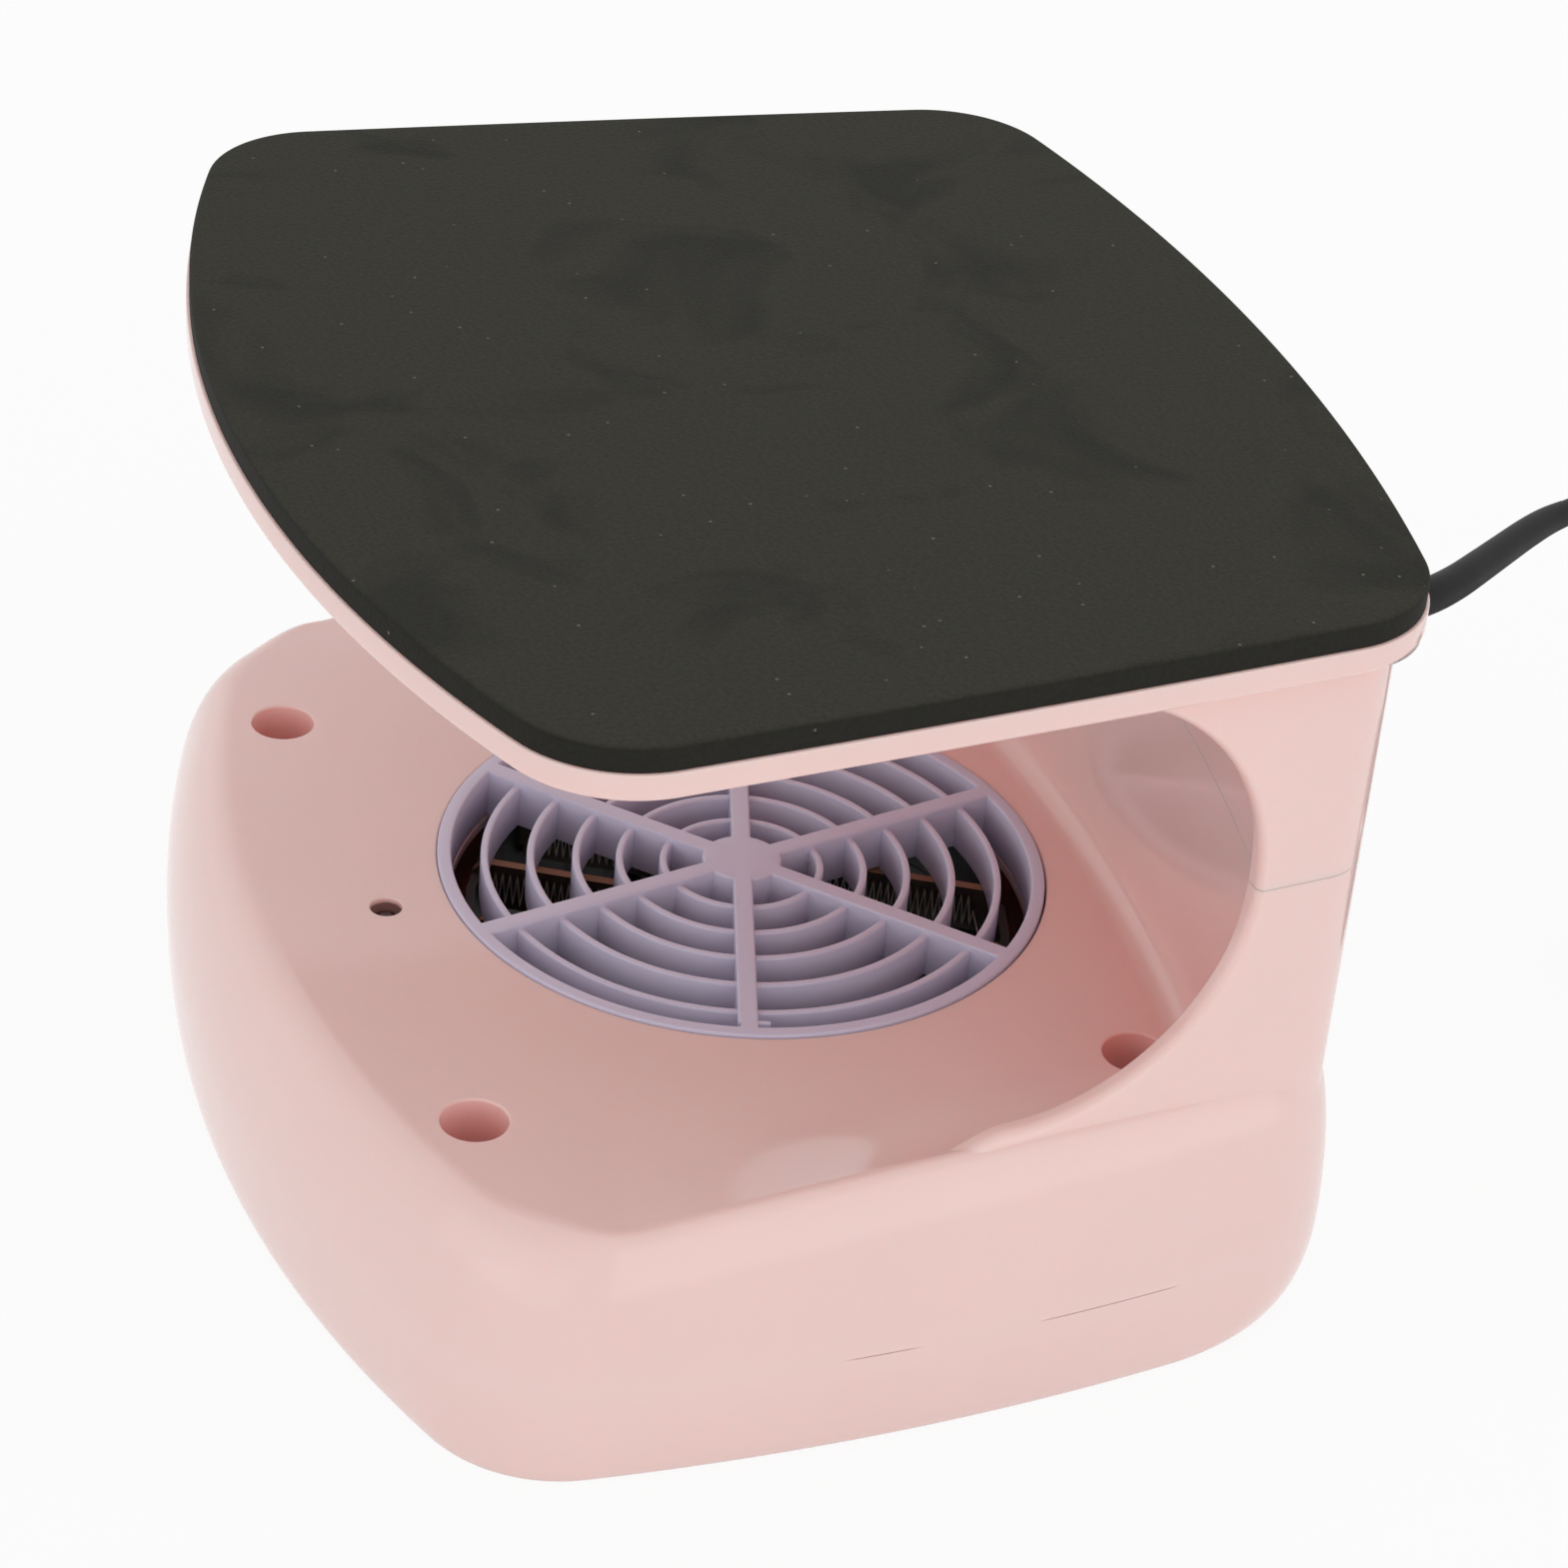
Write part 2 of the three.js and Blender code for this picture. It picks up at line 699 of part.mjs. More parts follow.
// Disc whose openings are ring sectors between round walls and straight spokes.
function grille(form, low, high) {
  const disc = new THREE.Shape();
  disc.absarc(0, 0, form.radius, 0, 2 * Math.PI);
  const walls = form.ring_shares.map((share) => share * form.radius);
  const inner = [form.hub, ...walls.map((radius) => radius + form.ring / 2)];
  const outer = [...walls.map((radius) => radius - form.ring / 2), form.radius - form.rim];
  const sector = (2 * Math.PI) / form.spokes;
  for (let k = 0; k < form.spokes; k += 1) {
    const start = form.turn * radian + k * sector;
    inner.forEach((radius, gap) => {
      const steps = 1 + Math.round((outer[gap] / form.radius) * 3);
      disc.holes.push(opening_path(radius, outer[gap], start, sector, form.spoke, steps));
    });
  }
  const settings = { depth: high - low, bevelEnabled: false, curveSegments: 32 };
  return new THREE.ExtrudeGeometry(disc, settings).translate(0, 0, low);
}

function opening_path(inner, outer, start, sector, spoke, steps) {
  const arc = (radius) => {
    const clear = Math.asin(spoke / 2 / radius);
    return Array.from({ length: steps + 1 }, (_, k) => {
      const turn = start + clear + ((sector - 2 * clear) * k) / steps;
      return new THREE.Vector2(radius * Math.cos(turn), radius * Math.sin(turn));
    });
  };
  return new THREE.Path([...arc(outer), ...arc(inner).reverse()]);
}

const outlet_form = {
  radius: grille_radius,
  rim: grille_rim,
  hub: grille_hub,
  ring: grille_ring,
  ring_shares: grille_ring_shares,
  spoke: grille_spoke,
  spokes: grille_spokes,
  turn: grille_turn,
};

const intake_form = {
  radius: intake_radius,
  rim: intake_rim,
  hub: intake_hub,
  ring: intake_ring,
  ring_shares: intake_ring_shares,
  spoke: intake_spoke,
  spokes: intake_spokes,
  turn: 0,
};

// Pan-head screw pointing down, with its head on z = seat and a slot across the head.
function screw(x, y, seat, length) {
  const top = seat + screw_head_height;
  const profile = [
    [0, seat - length], [screw_radius, seat - length + screw_radius], [screw_radius, seat],
    [screw_head, seat], [screw_head, seat + screw_head_height / 2], [screw_head * 0.7, top], [0, top],
  ];
  const slot = block(x, y, top - screw_head_height / 3, top + overrun, screw_head * 3, screw_slot);
  return solid(revolved(profile, 10, x, y)).subtract(solid(slot));
}

function duct_ear_places() {
  return Array.from({ length: duct_ears }, (_, k) => {
    const turn = (duct_ear_turn + (k * 360) / duct_ears) * radian;
    return [duct_ear_reach * Math.cos(turn), duct_ear_reach * Math.sin(turn)];
  });
}

function motor_screw_places() {
  return [1, -1].map((side) => {
    const turn = spider_turn * radian + Math.PI / 2;
    return [side * motor_screw_reach * Math.cos(turn), side * motor_screw_reach * Math.sin(turn)];
  });
}

// Open ring with ears for its screws and a spider over the rotor that carries the motor.
function fan_duct() {
  const outer = duct_inner + duct_wall;
  const profile = [
    [outer, duct_low], [outer, duct_high], [duct_inner, duct_high],
    [duct_inner, duct_low + duct_wall], [outer - duct_wall / 3, duct_low], [outer, duct_low],
  ];
  let duct = solid(revolved(profile, 32));
  const ear_high = duct_low + duct_ear_thickness;
  const root = duct_inner + duct_wall / 2;
  duct_ear_places().forEach(([x, y], k) => {
    const neck = block((root + duct_ear_reach) / 2, 0, duct_low, ear_high,
      duct_ear_reach - root, duct_ear_radius * 2);
    neck.rotateZ((duct_ear_turn + (k * 360) / duct_ears) * radian);
    duct = duct.add(rod(x, y, duct_low, ear_high, duct_ear_radius, 12)).add(solid(neck));
    duct = duct.subtract(rod(x, y, duct_low - overrun, duct_high, screw_hole, 10));
  });
  const spider_low = duct_high - spider_thickness;
  duct = duct.add(rod(0, 0, spider_low, duct_high, spider_disc, 18));
  for (let k = 0; k < spider_arms; k += 1) {
    const reach = duct_inner + duct_wall / 2;
    const arm = block(reach / 2, 0, spider_low, duct_high, reach, spider_arm);
    duct = duct.add(solid(arm.rotateZ((spider_turn + (k * 360) / spider_arms) * radian)));
  }
  duct = duct.subtract(rod(0, 0, spider_low - overrun, duct_high + overrun, motor_neck_radius + fit));
  for (const [x, y] of motor_screw_places()) {
    duct = duct.subtract(rod(x, y, spider_low - overrun, duct_high + overrun,
      motor_screw_radius + fit, 8));
  }
  return duct;
}

// Motor with a neck at each end; the upper one centres it in the spider.
function motor_can() {
  const bore = shaft_radius + fit;
  const ease = motor_radius / 12;
  const end = motor_low - motor_neck_height;
  const bore_end = motor_high - motor_height / 3;
  const profile = [
    [0, bore_end], [bore, bore_end], [bore, end], [motor_neck_radius, end],
    [motor_neck_radius, motor_low], [motor_radius - ease, motor_low],
    [motor_radius, motor_low + ease], [motor_radius, motor_high - ease],
    [motor_radius - ease, motor_high], [motor_neck_radius, motor_high],
    [motor_neck_radius, duct_high], [0, duct_high],
  ];
  let motor = solid(revolved(profile, 16));
  for (const [x, y] of motor_screw_places()) {
    motor = motor.subtract(rod(x, y, duct_high - motor_screw_length, duct_high + overrun,
      motor_screw_radius + fit, 8));
  }
  return motor;
}

function motor_screw(x, y) {
  const seat = duct_high + fit;
  const profile = [
    [0, seat - motor_screw_length], [motor_screw_radius, seat - motor_screw_length],
    [motor_screw_radius, seat], [motor_screw_radius * 2, seat],
    [motor_screw_radius * 2, seat + motor_screw_radius], [0, seat + motor_screw_radius],
  ];
  return revolved(profile, 8, x, y);
}

const rotor_cap_high = motor_low - motor_neck_height - fit * 2;
const rotor_cap_low = rotor_cap_high - rotor_hub_wall;
const rotor_high = rotor_cap_low + rotor_hub_height;

// Cup over the motor with twisted blades that run close to the duct.
function fan_rotor() {
  const inner = rotor_hub_radius - rotor_hub_wall;
  const bore = shaft_radius + fit;
  const profile = [
    [bore, rotor_cap_low], [rotor_hub_radius - rotor_hub_wall, rotor_cap_low],
    [rotor_hub_radius, rotor_cap_low + rotor_hub_wall], [rotor_hub_radius, rotor_high],
    [inner, rotor_high], [inner, rotor_cap_high], [bore, rotor_cap_high], [bore, rotor_cap_low],
  ];
  let rotor = solid(revolved(profile, 20));
  for (let k = 0; k < blade_count; k += 1) {
    rotor = rotor.add(solid(blade().rotateZ((k * 2 * Math.PI) / blade_count)));
  }
  return rotor;
}

// One blade: cambered sections whose angle falls from root to tip.
function blade() {
  const root = rotor_hub_radius - rotor_hub_wall / 2;
  const tip = duct_inner - rotor_gap;
  const middle = (rotor_cap_low + rotor_high) / 2;
  const nodes = [[-1, 0], [-0.3, -0.8], [0.5, -0.7], [1, 0], [0.5, 0.3], [-0.3, 0.2]];
  const rings = [0, 0.35, 0.7, 1].map((share) => {
    const radius = THREE.MathUtils.lerp(root, tip, share);
    const angle = THREE.MathUtils.lerp(blade_root_angle, blade_tip_angle, share) * radian;
    const half = (rotor_hub_height / 2 - blade_thickness) / Math.sin(angle);
    return nodes.map(([u, v]) => {
      const along = u * half;
      const across = v * blade_thickness;
      const turn = (along * Math.cos(angle) - across * Math.sin(angle)) / radius;
      const z = middle + along * Math.sin(angle) + across * Math.cos(angle);
      return new THREE.Vector3(radius * Math.cos(turn), radius * Math.sin(turn), z);
    });
  });
  return loft(rings);
}

// Ring between the duct and the face shell, with slots that hold the mica strips.
function heater_ring() {
  const inner = heater_ring_radius - heater_ring_wall;
  let ring_body = sleeve(heater_low, heater_high, inner, heater_ring_radius);
  for (const offset of [-heater_pitch, 0, heater_pitch]) {
    const slot = block(0, offset, heater_high - heater_slot, heater_high + overrun,
      heater_ring_radius * 3, heater_strip + fit * 2);
    ring_body = ring_body.subtract(solid(slot.rotateZ(heater_turn * radian)));
  }
  return ring_body;
}

// Mica strip, its ends stepped to sit in the ring's slots.
function heater_board(offset) {
  const inner = heater_ring_radius - heater_ring_wall;
  const edge = Math.abs(offset) + heater_strip / 2;
  const body = Math.sqrt(inner ** 2 - edge ** 2) - fit;
  const reach = Math.sqrt(heater_ring_radius ** 2 - edge ** 2);
  const step = heater_high - heater_slot + fit;
  const shape = new THREE.Shape();
  shape.moveTo(-body, heater_low + heater_foot);
  shape.lineTo(body, heater_low + heater_foot);
  shape.lineTo(body, step);
  shape.lineTo(reach, step);
  shape.lineTo(reach, heater_high);
  shape.lineTo(body, strip_high);
  shape.lineTo(-body, strip_high);
  shape.lineTo(-reach, heater_high);
  shape.lineTo(-reach, step);
  shape.lineTo(-body, step);
  shape.closePath();
  const strip = new THREE.ExtrudeGeometry(shape, { depth: heater_strip, bevelEnabled: false });
  strip.rotateX(Math.PI / 2);
  strip.translate(0, offset + heater_strip / 2, 0);
  return strip.rotateZ(heater_turn * radian);
}

// Heating wire bent to and fro between two strips, in one unbroken run.
function heater_wire(side) {
  const near = heater_strip / 2 + wire_radius + fit;
  const far = heater_pitch - near;
  const z = strip_high - wire_drop;
  const route = [];
  for (let k = 0; k < wire_bends; k += 1) {
    const x = (k - (wire_bends - 1) / 2) * wire_step;
    const ends = k % 2 === 0 ? [near, far] : [far, near];
    route.push(...ends.map((y) => new THREE.Vector3(x, side * y, z)));
  }
  return tube(route, wire_radius, 5).rotateZ(heater_turn * radian);
}

// Round section swept along points that lie nearly level, mitred at sharp bends.
function tube(centres, radius, sides) {
  const direction = (from, to) => to.clone().sub(from).normalize();
  const last = centres.length - 1;
  const rings = centres.map((point, k) => {
    const into = direction(centres[Math.max(k - 1, 0)], centres[Math.max(k, 1)]);
    const out = direction(centres[Math.min(k, last - 1)], centres[Math.min(k + 1, last)]);
    const along = into.clone().add(out).normalize();
    const across = new THREE.Vector3(-along.y, along.x, 0).normalize();
    const up = new THREE.Vector3().crossVectors(along, across);
    const mitre = 1 / along.dot(out);
    return Array.from({ length: sides }, (_, s) => {
      const turn = ((s + 1 / 2) / sides) * 2 * Math.PI;
      return point.clone()
        .addScaledVector(across, radius * mitre * Math.cos(turn))
        .addScaledVector(up, radius * Math.sin(turn));
    });
  });
  return loft(rings);
}

// Smallest gap between two parts of one tube that lie at least a few steps apart.
function least_gap(centres, radius, steps_apart) {
  let least = Infinity;
  for (let a = 0; a < centres.length; a += 1) {
    for (let b = a + steps_apart; b < centres.length; b += 1) {
      least = Math.min(least, centres[a].distanceTo(centres[b]) - 2 * radius);
    }
  }
  return least;
}

// Thermal cut-out, a button flat against the outer strip.
function thermal_cutout() {
  const seat = heater_pitch + heater_strip / 2 + fit;
  const far = seat + cutout_thickness;
  const profile = [
    [0, seat], [cutout_radius, seat], [cutout_radius, far - cutout_radius / 4],
    [cutout_radius * 0.8, far], [0, far],
  ];
  const button = revolved(profile, 14).rotateX(-Math.PI / 2);
  button.translate(0, 0, strip_high - cutout_radius);
  return button.rotateZ(heater_turn * radian);
}

// Thermal fuse lying along the other outer strip.
function thermal_fuse() {
  const seat = heater_pitch + heater_strip / 2 + fit + fuse_radius;
  const half = fuse_length / 2;
  const profile = [
    [0, -half], [fuse_radius * 0.6, -half], [fuse_radius, fuse_radius - half],
    [fuse_radius, half - fuse_radius], [fuse_radius * 0.6, half], [0, half],
  ];
  const fuse = revolved(profile, 10).rotateY(Math.PI / 2);
  fuse.translate(0, -seat, strip_high - fuse_radius * 2);
  return fuse.rotateZ(heater_turn * radian);
}

function control_board() {
  let board = solid(block(0, sensor_y, board_low, board_high, board_length, board_width));
  for (const side of [-1, 1]) {
    const x = side * board_screw_x;
    board = board.subtract(rod(x, sensor_y, board_low - overrun, board_high + overrun,
      screw_hole, 10));
  }
  return board;
}

function board_screw(side) {
  const seat = board_low - fit;
  const head = seat - screw_head_height / 2;
  const profile = [
    [0, head], [screw_head, head], [screw_head, seat], [screw_radius, seat],
    [screw_radius, seat + board_screw_length - fit * 2], [0, seat + board_screw_length - fit * 2],
  ];
  return revolved(profile, 10, side * board_screw_x, sensor_y);
}

function capacitor() {
  const high = board_low - fit;
  const low = high - capacitor_height;
  const ease = capacitor_radius / 6;
  const profile = [
    [0, low], [capacitor_radius - ease, low], [capacitor_radius, low + ease],
    [capacitor_radius, high], [0, high],
  ];
  return revolved(profile, 14, board_part_x, sensor_y);
}

// Clear barrel of the hand sensor, standing on the board with a domed end in the face.
function hand_sensor() {
  const low = board_high + fit;
  const high = face_z - sensor_sunk;
  const profile = [
    [0, low], [sensor_radius, low], [sensor_radius, high - sensor_radius / 2],
    [sensor_radius * 0.8, high - sensor_radius / 5], [sensor_radius * 0.4, high], [0, high],
  ];
  return revolved(profile, 14, 0, sensor_y);
}

function rounded_rectangle(path, width, height, corner) {
  const x = width / 2 - corner;
  const y = height / 2 - corner;
  path.absarc(x, -y, corner, -Math.PI / 2, 0);
  path.absarc(x, y, corner, 0, Math.PI / 2);
  path.absarc(-x, y, corner, Math.PI / 2, Math.PI);
  path.absarc(-x, -y, corner, Math.PI, Math.PI * 1.5);
  path.closePath();
}

// Switch housing behind the wall with the bezel that lies on the wall.
function switch_body() {
  const face = column_rear + fit;
  const front = face + bezel_thickness;
  const frame = new THREE.Shape();
  rounded_rectangle(frame, bezel_width, bezel_height, bezel_corner);
  const settings = { depth: bezel_thickness, bevelEnabled: false, curveSegments: 3 };
  const bezel = new THREE.ExtrudeGeometry(frame, settings);
  bezel.rotateX(Math.PI / 2).translate(0, front, switch_z);
  const back = face - switch_depth;
  const box = block(0, (back + front) / 2, switch_z - switch_height / 2,
    switch_z + switch_height / 2, switch_width, front - back);
  const floor = back + bezel_thickness;
  const room_high = rocker_height / 2 + rocker_gap;
  const room = block(0, (floor + front + overrun) / 2, switch_z - room_high,
    switch_z + room_high, rocker_width + rocker_gap * 2, front + overrun - floor);
  return solid(bezel).add(solid(box)).subtract(solid(room));
}

// Paddle with two faces that meet in a shallow V, tilted about its axis to its rest angle.
function switch_rocker() {
  const half = rocker_height / 2;
  const lift = half * Math.tan(rocker_angle * radian);
  const shape = new THREE.Shape();
  const front = rocker_thickness / 2;
  shape.moveTo(front, 0);
  shape.lineTo(front + lift, half);
  shape.lineTo(0, half);
  shape.lineTo(-front, half / 2);
  shape.lineTo(-front, -half / 2);
  shape.lineTo(0, -half);
  shape.lineTo(front + lift, -half);
  shape.closePath();
  const paddle = new THREE.ExtrudeGeometry(shape, { depth: rocker_width, bevelEnabled: false });
  // The profile's x points out of the wall and its y points up.
  const axes = new THREE.Matrix4().makeBasis(
    new THREE.Vector3(0, 1, 0), new THREE.Vector3(0, 0, 1), new THREE.Vector3(1, 0, 0));
  paddle.applyMatrix4(axes).translate(-rocker_width / 2, 0, 0);
  return paddle.rotateX(rocker_angle * radian).translate(0, rocker_y, switch_z);
}

// Round bar square to the rear wall where the lead comes out, from low to high behind it.
function gland_bar(radius, low, high, sides = 12) {
  const bar = rod(0, 0, low, high, radius, sides);
  const turn = Math.asin(gland_x / column_rear_radius) / radian;
  return bar.rotate([-90, 0, -turn]).translate([gland_x, gland_y, gland_z]);
}

// Free lead, its points chosen by hand, from the wall: level in its boot, down to the surface
// behind the dryer and level again on the coil.
const lead_route = [
  [0, 0, 0], [-0.2, 5.5, 0], [-0.9, 11.6, 0], [-2.4, 17.4, 0], [-4.9, 22.7, 0], [-8.5, 28.5, 0],
  [-12.3, 34.4, 0], [-16, 40.2, 0], [-18.9, 45.4, 0], [-21, 50.6, 0], [-22.9, 55.8, 0],
  [-24.6, 60.4, -0.8], [-26.4, 64.8, -2.9], [-28, 69, -6.6], [-29.4, 72.4, -12],
  [-30.2, 74.5, -18.6], [-30.6, 75.6, -27], [-30.8, 76, -38], [-31, 76.3, -49],
  [-31.2, 76.6, -59], [-31.7, 77.6, -67.8], [-32.8, 79.9, -75.4], [-34.4, 83.4, -81],
  [-36.2, 87.8, -84.4], [-37.6, 91.3, -85.2], [-39, 94.8, -85.2],
];
const drop_share = (coil_top - gland_z) / lead_route.at(-1)[2];
const lead_points = lead_route.map(([x, y, z]) => (
  new THREE.Vector3(gland_x + x, gland_y + y, gland_z + z * drop_share)));
const lead_curve = new THREE.CatmullRomCurve3(lead_points, false, 'centripetal');

// Part of the lead's curve between two distances from the wall.
class LeadStretch extends THREE.Curve {
  constructor(from, to) {
    super();
    this.from = from / lead_curve.getLength();
    this.to = to / lead_curve.getLength();
  }

  getPoint(share, target = new THREE.Vector3()) {
    return lead_curve.getPointAt(THREE.MathUtils.lerp(this.from, this.to, share), target);
  }
}

// Flange on the wall, neck through it with a latch behind it, and a tapered boot on the lead.
function strain_relief() {
  const flange = gland_bar(gland_flange_radius, fit, fit + gland_flange, 16);
  const neck = gland_bar(gland_neck_radius, -wall * 2, fit + gland_flange / 2);
  const latch = gland_bar(gland_neck_radius + gland_latch, -wall * 2, -wall - fit);
  const stretch = new LeadStretch(gland_flange / 2, relief_length);
  const steps = 9;
  const sides = 10;
  const frames = stretch.computeFrenetFrames(steps, false);
  const rings = Array.from({ length: steps + 1 }, (_, k) => {
    const share = k / steps;
    const centre = stretch.getPoint(share);
    const radius = THREE.MathUtils.lerp(relief_root, relief_tip, Math.sqrt(share));
    return Array.from({ length: sides }, (__, s) => {
      const turn = (s / sides) * 2 * Math.PI;
      return centre.clone()
        .addScaledVector(frames.normals[k], radius * Math.cos(turn))
        .addScaledVector(frames.binormals[k], radius * Math.sin(turn));
    });
  });
  return flange.add(neck).add(latch).add(solid(loft(rings)));
}

function power_cord() {
  const section = new THREE.Shape();
  for (let k = 0; k < lead_sides; k += 1) {
    const turn = (k / lead_sides) * 2 * Math.PI;
    const x = cord_radius * Math.cos(turn);
    const y = cord_radius * Math.sin(turn);
    if (k === 0) {
      section.moveTo(x, y);
    } else {
      section.lineTo(x, y);
    }
  }
  section.closePath();
  const stretch = new LeadStretch(relief_length + fit, lead_curve.getLength());
  return new THREE.ExtrudeGeometry(section, { steps: lead_steps, extrudePath: stretch });
}

// Where the coil starts and the way that the lead runs there.
const coil_heading = lead_points.at(-1).clone().sub(lead_points.at(-2)).setZ(0).normalize();
const coil_start = lead_points.at(-1).clone().addScaledVector(coil_heading, fit);
const coil_spread = (coil_turns * coil_pitch) / 2;
const coil_angle = Math.atan2(coil_heading.x, -coil_heading.y);
const coil_centre = coil_start.clone()
  .addScaledVector(coil_heading, cord_radius * 2)
  .addScaledVector(new THREE.Vector3(Math.cos(coil_angle), Math.sin(coil_angle), 0),
    -(coil_radius + coil_spread));

// Middle of the cord after a number of turns, clockwise from the top layer down. A layer is
// left in the half turn in which the spiral reverses.
function coil_point(turns) {
  const layer = Math.min(Math.floor(turns / coil_turns), coil_layers - 1);
  const within = turns / coil_turns - layer;
  const inward = layer % 2 === 0 ? within : 1 - within;
  const radius = coil_radius + coil_spread * (1 - 2 * inward);
  const reversal = Math.round(turns / coil_turns);
  const off = (turns - reversal * coil_turns) * 4;
  let level = layer;
  if (reversal > 0 && reversal < coil_layers && Math.abs(off) < 1) {
    level = reversal - 1 / 2 + Math.sin((off * Math.PI) / 2) / 2;
  }
  const angle = coil_angle - turns * 2 * Math.PI;
  return new THREE.Vector3(
    coil_centre.x + radius * Math.cos(angle),
    coil_centre.y + radius * Math.sin(angle),
    cord_radius + (coil_layers - 1 - level) * coil_pitch);
}

const coil_total = coil_layers * coil_turns;
const coil_end = coil_point(coil_total);
coil_start.z = coil_point(0).z;

function cord_coil() {
  const steps = coil_total * coil_steps;
  const wound = Array.from({ length: steps + 1 }, (_, k) => coil_point((k / steps) * coil_total));
  const gap = least_gap(wound, cord_radius, coil_steps / 2);
  console.log(`least gap of the coil to itself: ${gap.toFixed(2)} mm`);
  const tail = [0.3, 0.5, 0.7, 0.84, 1].map((share) => {
    const point = coil_end.clone().addScaledVector(coil_heading, coil_tail * share);
    const lift = THREE.MathUtils.smoothstep(share, 0.2, 0.85);
    return point.setZ(THREE.MathUtils.lerp(cord_radius, plug_thickness / 2, lift));
  });
  return tube([coil_start, ...wound, ...tail], cord_radius, coil_sides);
}

// Puts a shape drawn along +X from zero at the end of the coil's tail.
function on_tail(geometry, offset) {
  geometry.rotateZ(Math.atan2(coil_heading.y, coil_heading.x));
  const place = coil_end.clone().addScaledVector(coil_heading, coil_tail + offset);
  return geometry.translate(place.x, place.y, plug_thickness / 2);
}

// Flat plug that widens from its neck.
function plug_body() {
  const half = plug_width / 2;
  const shape = new THREE.Shape();
  shape.moveTo(0, -plug_neck);
  shape.bezierCurveTo(plug_length / 3, -plug_neck, plug_length / 3, -half, plug_length * 0.6, -half);
  shape.lineTo(plug_length, -half);
  shape.lineTo(plug_length, half);
  shape.lineTo(plug_length * 0.6, half);
  shape.bezierCurveTo(plug_length / 3, half, plug_length / 3, plug_neck, 0, plug_neck);
  shape.closePath();
  const depth = plug_thickness - plug_edge * 2;
  const body = new THREE.ExtrudeGeometry(shape, {
    depth, curveSegments: 5, bevelThickness: plug_edge, bevelSize: plug_edge,
    bevelOffset: -plug_edge, bevelSegments: 2,
  });
  return body.translate(0, 0, -depth / 2);
}

// Round pin of the plug, side is 1 or -1.
function plug_pin(side) {
  const profile = [
    [0, 0], [pin_radius, 0], [pin_radius, pin_length - pin_radius], [pin_radius * 0.7,
      pin_length - pin_radius / 4], [0, pin_length],
  ];
  const pin = revolved(profile, 12).rotateY(Math.PI / 2);
  return pin.translate(0, (side * pin_spacing) / 2, 0);
}

const dryer = new THREE.Group();
dryer.position.y = (housing_front - pad_rear - plate_lip) / 2;

function add(name, shape, material) {
  const geometry = shape.isBufferGeometry ? shape : surface(shape);
  const mesh = new THREE.Mesh(geometry, material);
  mesh.name = name;
  dryer.add(mesh);
}

const pad_points = outline(pad_form);
const pad_low = plate_top + fit;
const pad_high = plate_top + pad_thickness;
add('anti_slip_pad', loft([
  ring(pad_points, 0, pad_low), ring(pad_points, 0, pad_high - pad_edge),
  ring(pad_points, pad_edge, pad_high),
]), finish(0x3a3932, 0.95, 0));
add('base_shell', base_shell(), pink());
add('face_shell', face_shell(), pink());
add('outer_shell', outer_shell(), pink());
add('outlet_grille', grille(outlet_form, ledge_z + fit, face_z + grille_proud), lilac());
add('intake_grille', grille(intake_form, intake_sunk, intake_sunk + intake_depth), lilac());

well_places().forEach(([x, y], k) => {
  add(`housing_screw_${k + 1}`, screw(x, y, well_floor + fit, housing_screw_length), steel());
});
[1, -1].forEach((side, k) => {
  const [x, y] = column_screw_place(side);
  add(`column_screw_${k + 1}`, screw(x, y, column_screw_seat, column_screw_length), steel());
});

add('fan_duct', fan_duct(), black_plastic());
duct_ear_places().forEach(([x, y], k) => {
  const seat = duct_low + duct_ear_thickness + fit;
  add(`duct_screw_${k + 1}`, screw(x, y, seat, duct_screw_length), steel());
});
add('motor_can', motor_can(), steel());
motor_screw_places().forEach(([x, y], k) => {
  add(`motor_screw_${k + 1}`, motor_screw(x, y), steel());
});
const shaft_high = motor_high - motor_height / 3 - fit;
add('motor_shaft', surface(rod(0, 0, rotor_cap_low - fit, shaft_high, shaft_radius, 10)), steel());
add('fan_rotor', fan_rotor(), finish(0xd8d8d4, 0.45, 0));

add('heater_ring', heater_ring(), finish(0x8a6a48, 0.8, 0));
[-heater_pitch, 0, heater_pitch].forEach((offset, k) => {
  add(`heater_strip_${k + 1}`, heater_board(offset), finish(0x8f6f4c, 0.75, 0));
});
add('heater_wire_1', heater_wire(1), finish(0x8e8b86, 0.35, 1));
add('heater_wire_2', heater_wire(-1), finish(0x8e8b86, 0.35, 1));
add('thermal_cutout', thermal_cutout(), finish(0xc9c7c0, 0.35, 1));
add('thermal_fuse', thermal_fuse(), finish(0xd8d0b8, 0.5, 0));

add('control_board', control_board(), finish(0x3e6b46, 0.55, 0));
add('board_screw_1', board_screw(1), steel());
add('board_screw_2', board_screw(-1), steel());
add('relay', block(-board_part_x, sensor_y, board_low - fit - relay_height, board_low - fit,
  relay_length, relay_width), finish(0x2a4f8f, 0.5, 0));
add('capacitor', capacitor(), finish(0x2b2b30, 0.4, 0));
add('hand_sensor', hand_sensor(), finish(0x3a2f3a, 0.15, 0));

add('switch_body', switch_body(), black_plastic());
add('power_rocker', switch_rocker(), black_plastic());

add('strain_relief', strain_relief(), finish(0x2a2b2a, 0.7, 0));
add('power_cord', power_cord(), finish(0x2c2d2c, 0.6, 0));
add('cord_coil', cord_coil(), finish(0x2c2d2c, 0.6, 0));
add('plug_body', on_tail(plug_body(), fit), finish(0x2a2b2a, 0.6, 0));
[1, -1].forEach((side, k) => {
  add(`plug_pin_${k + 1}`, on_tail(plug_pin(side), plug_length + fit * 2), steel());
});

export default dryer;
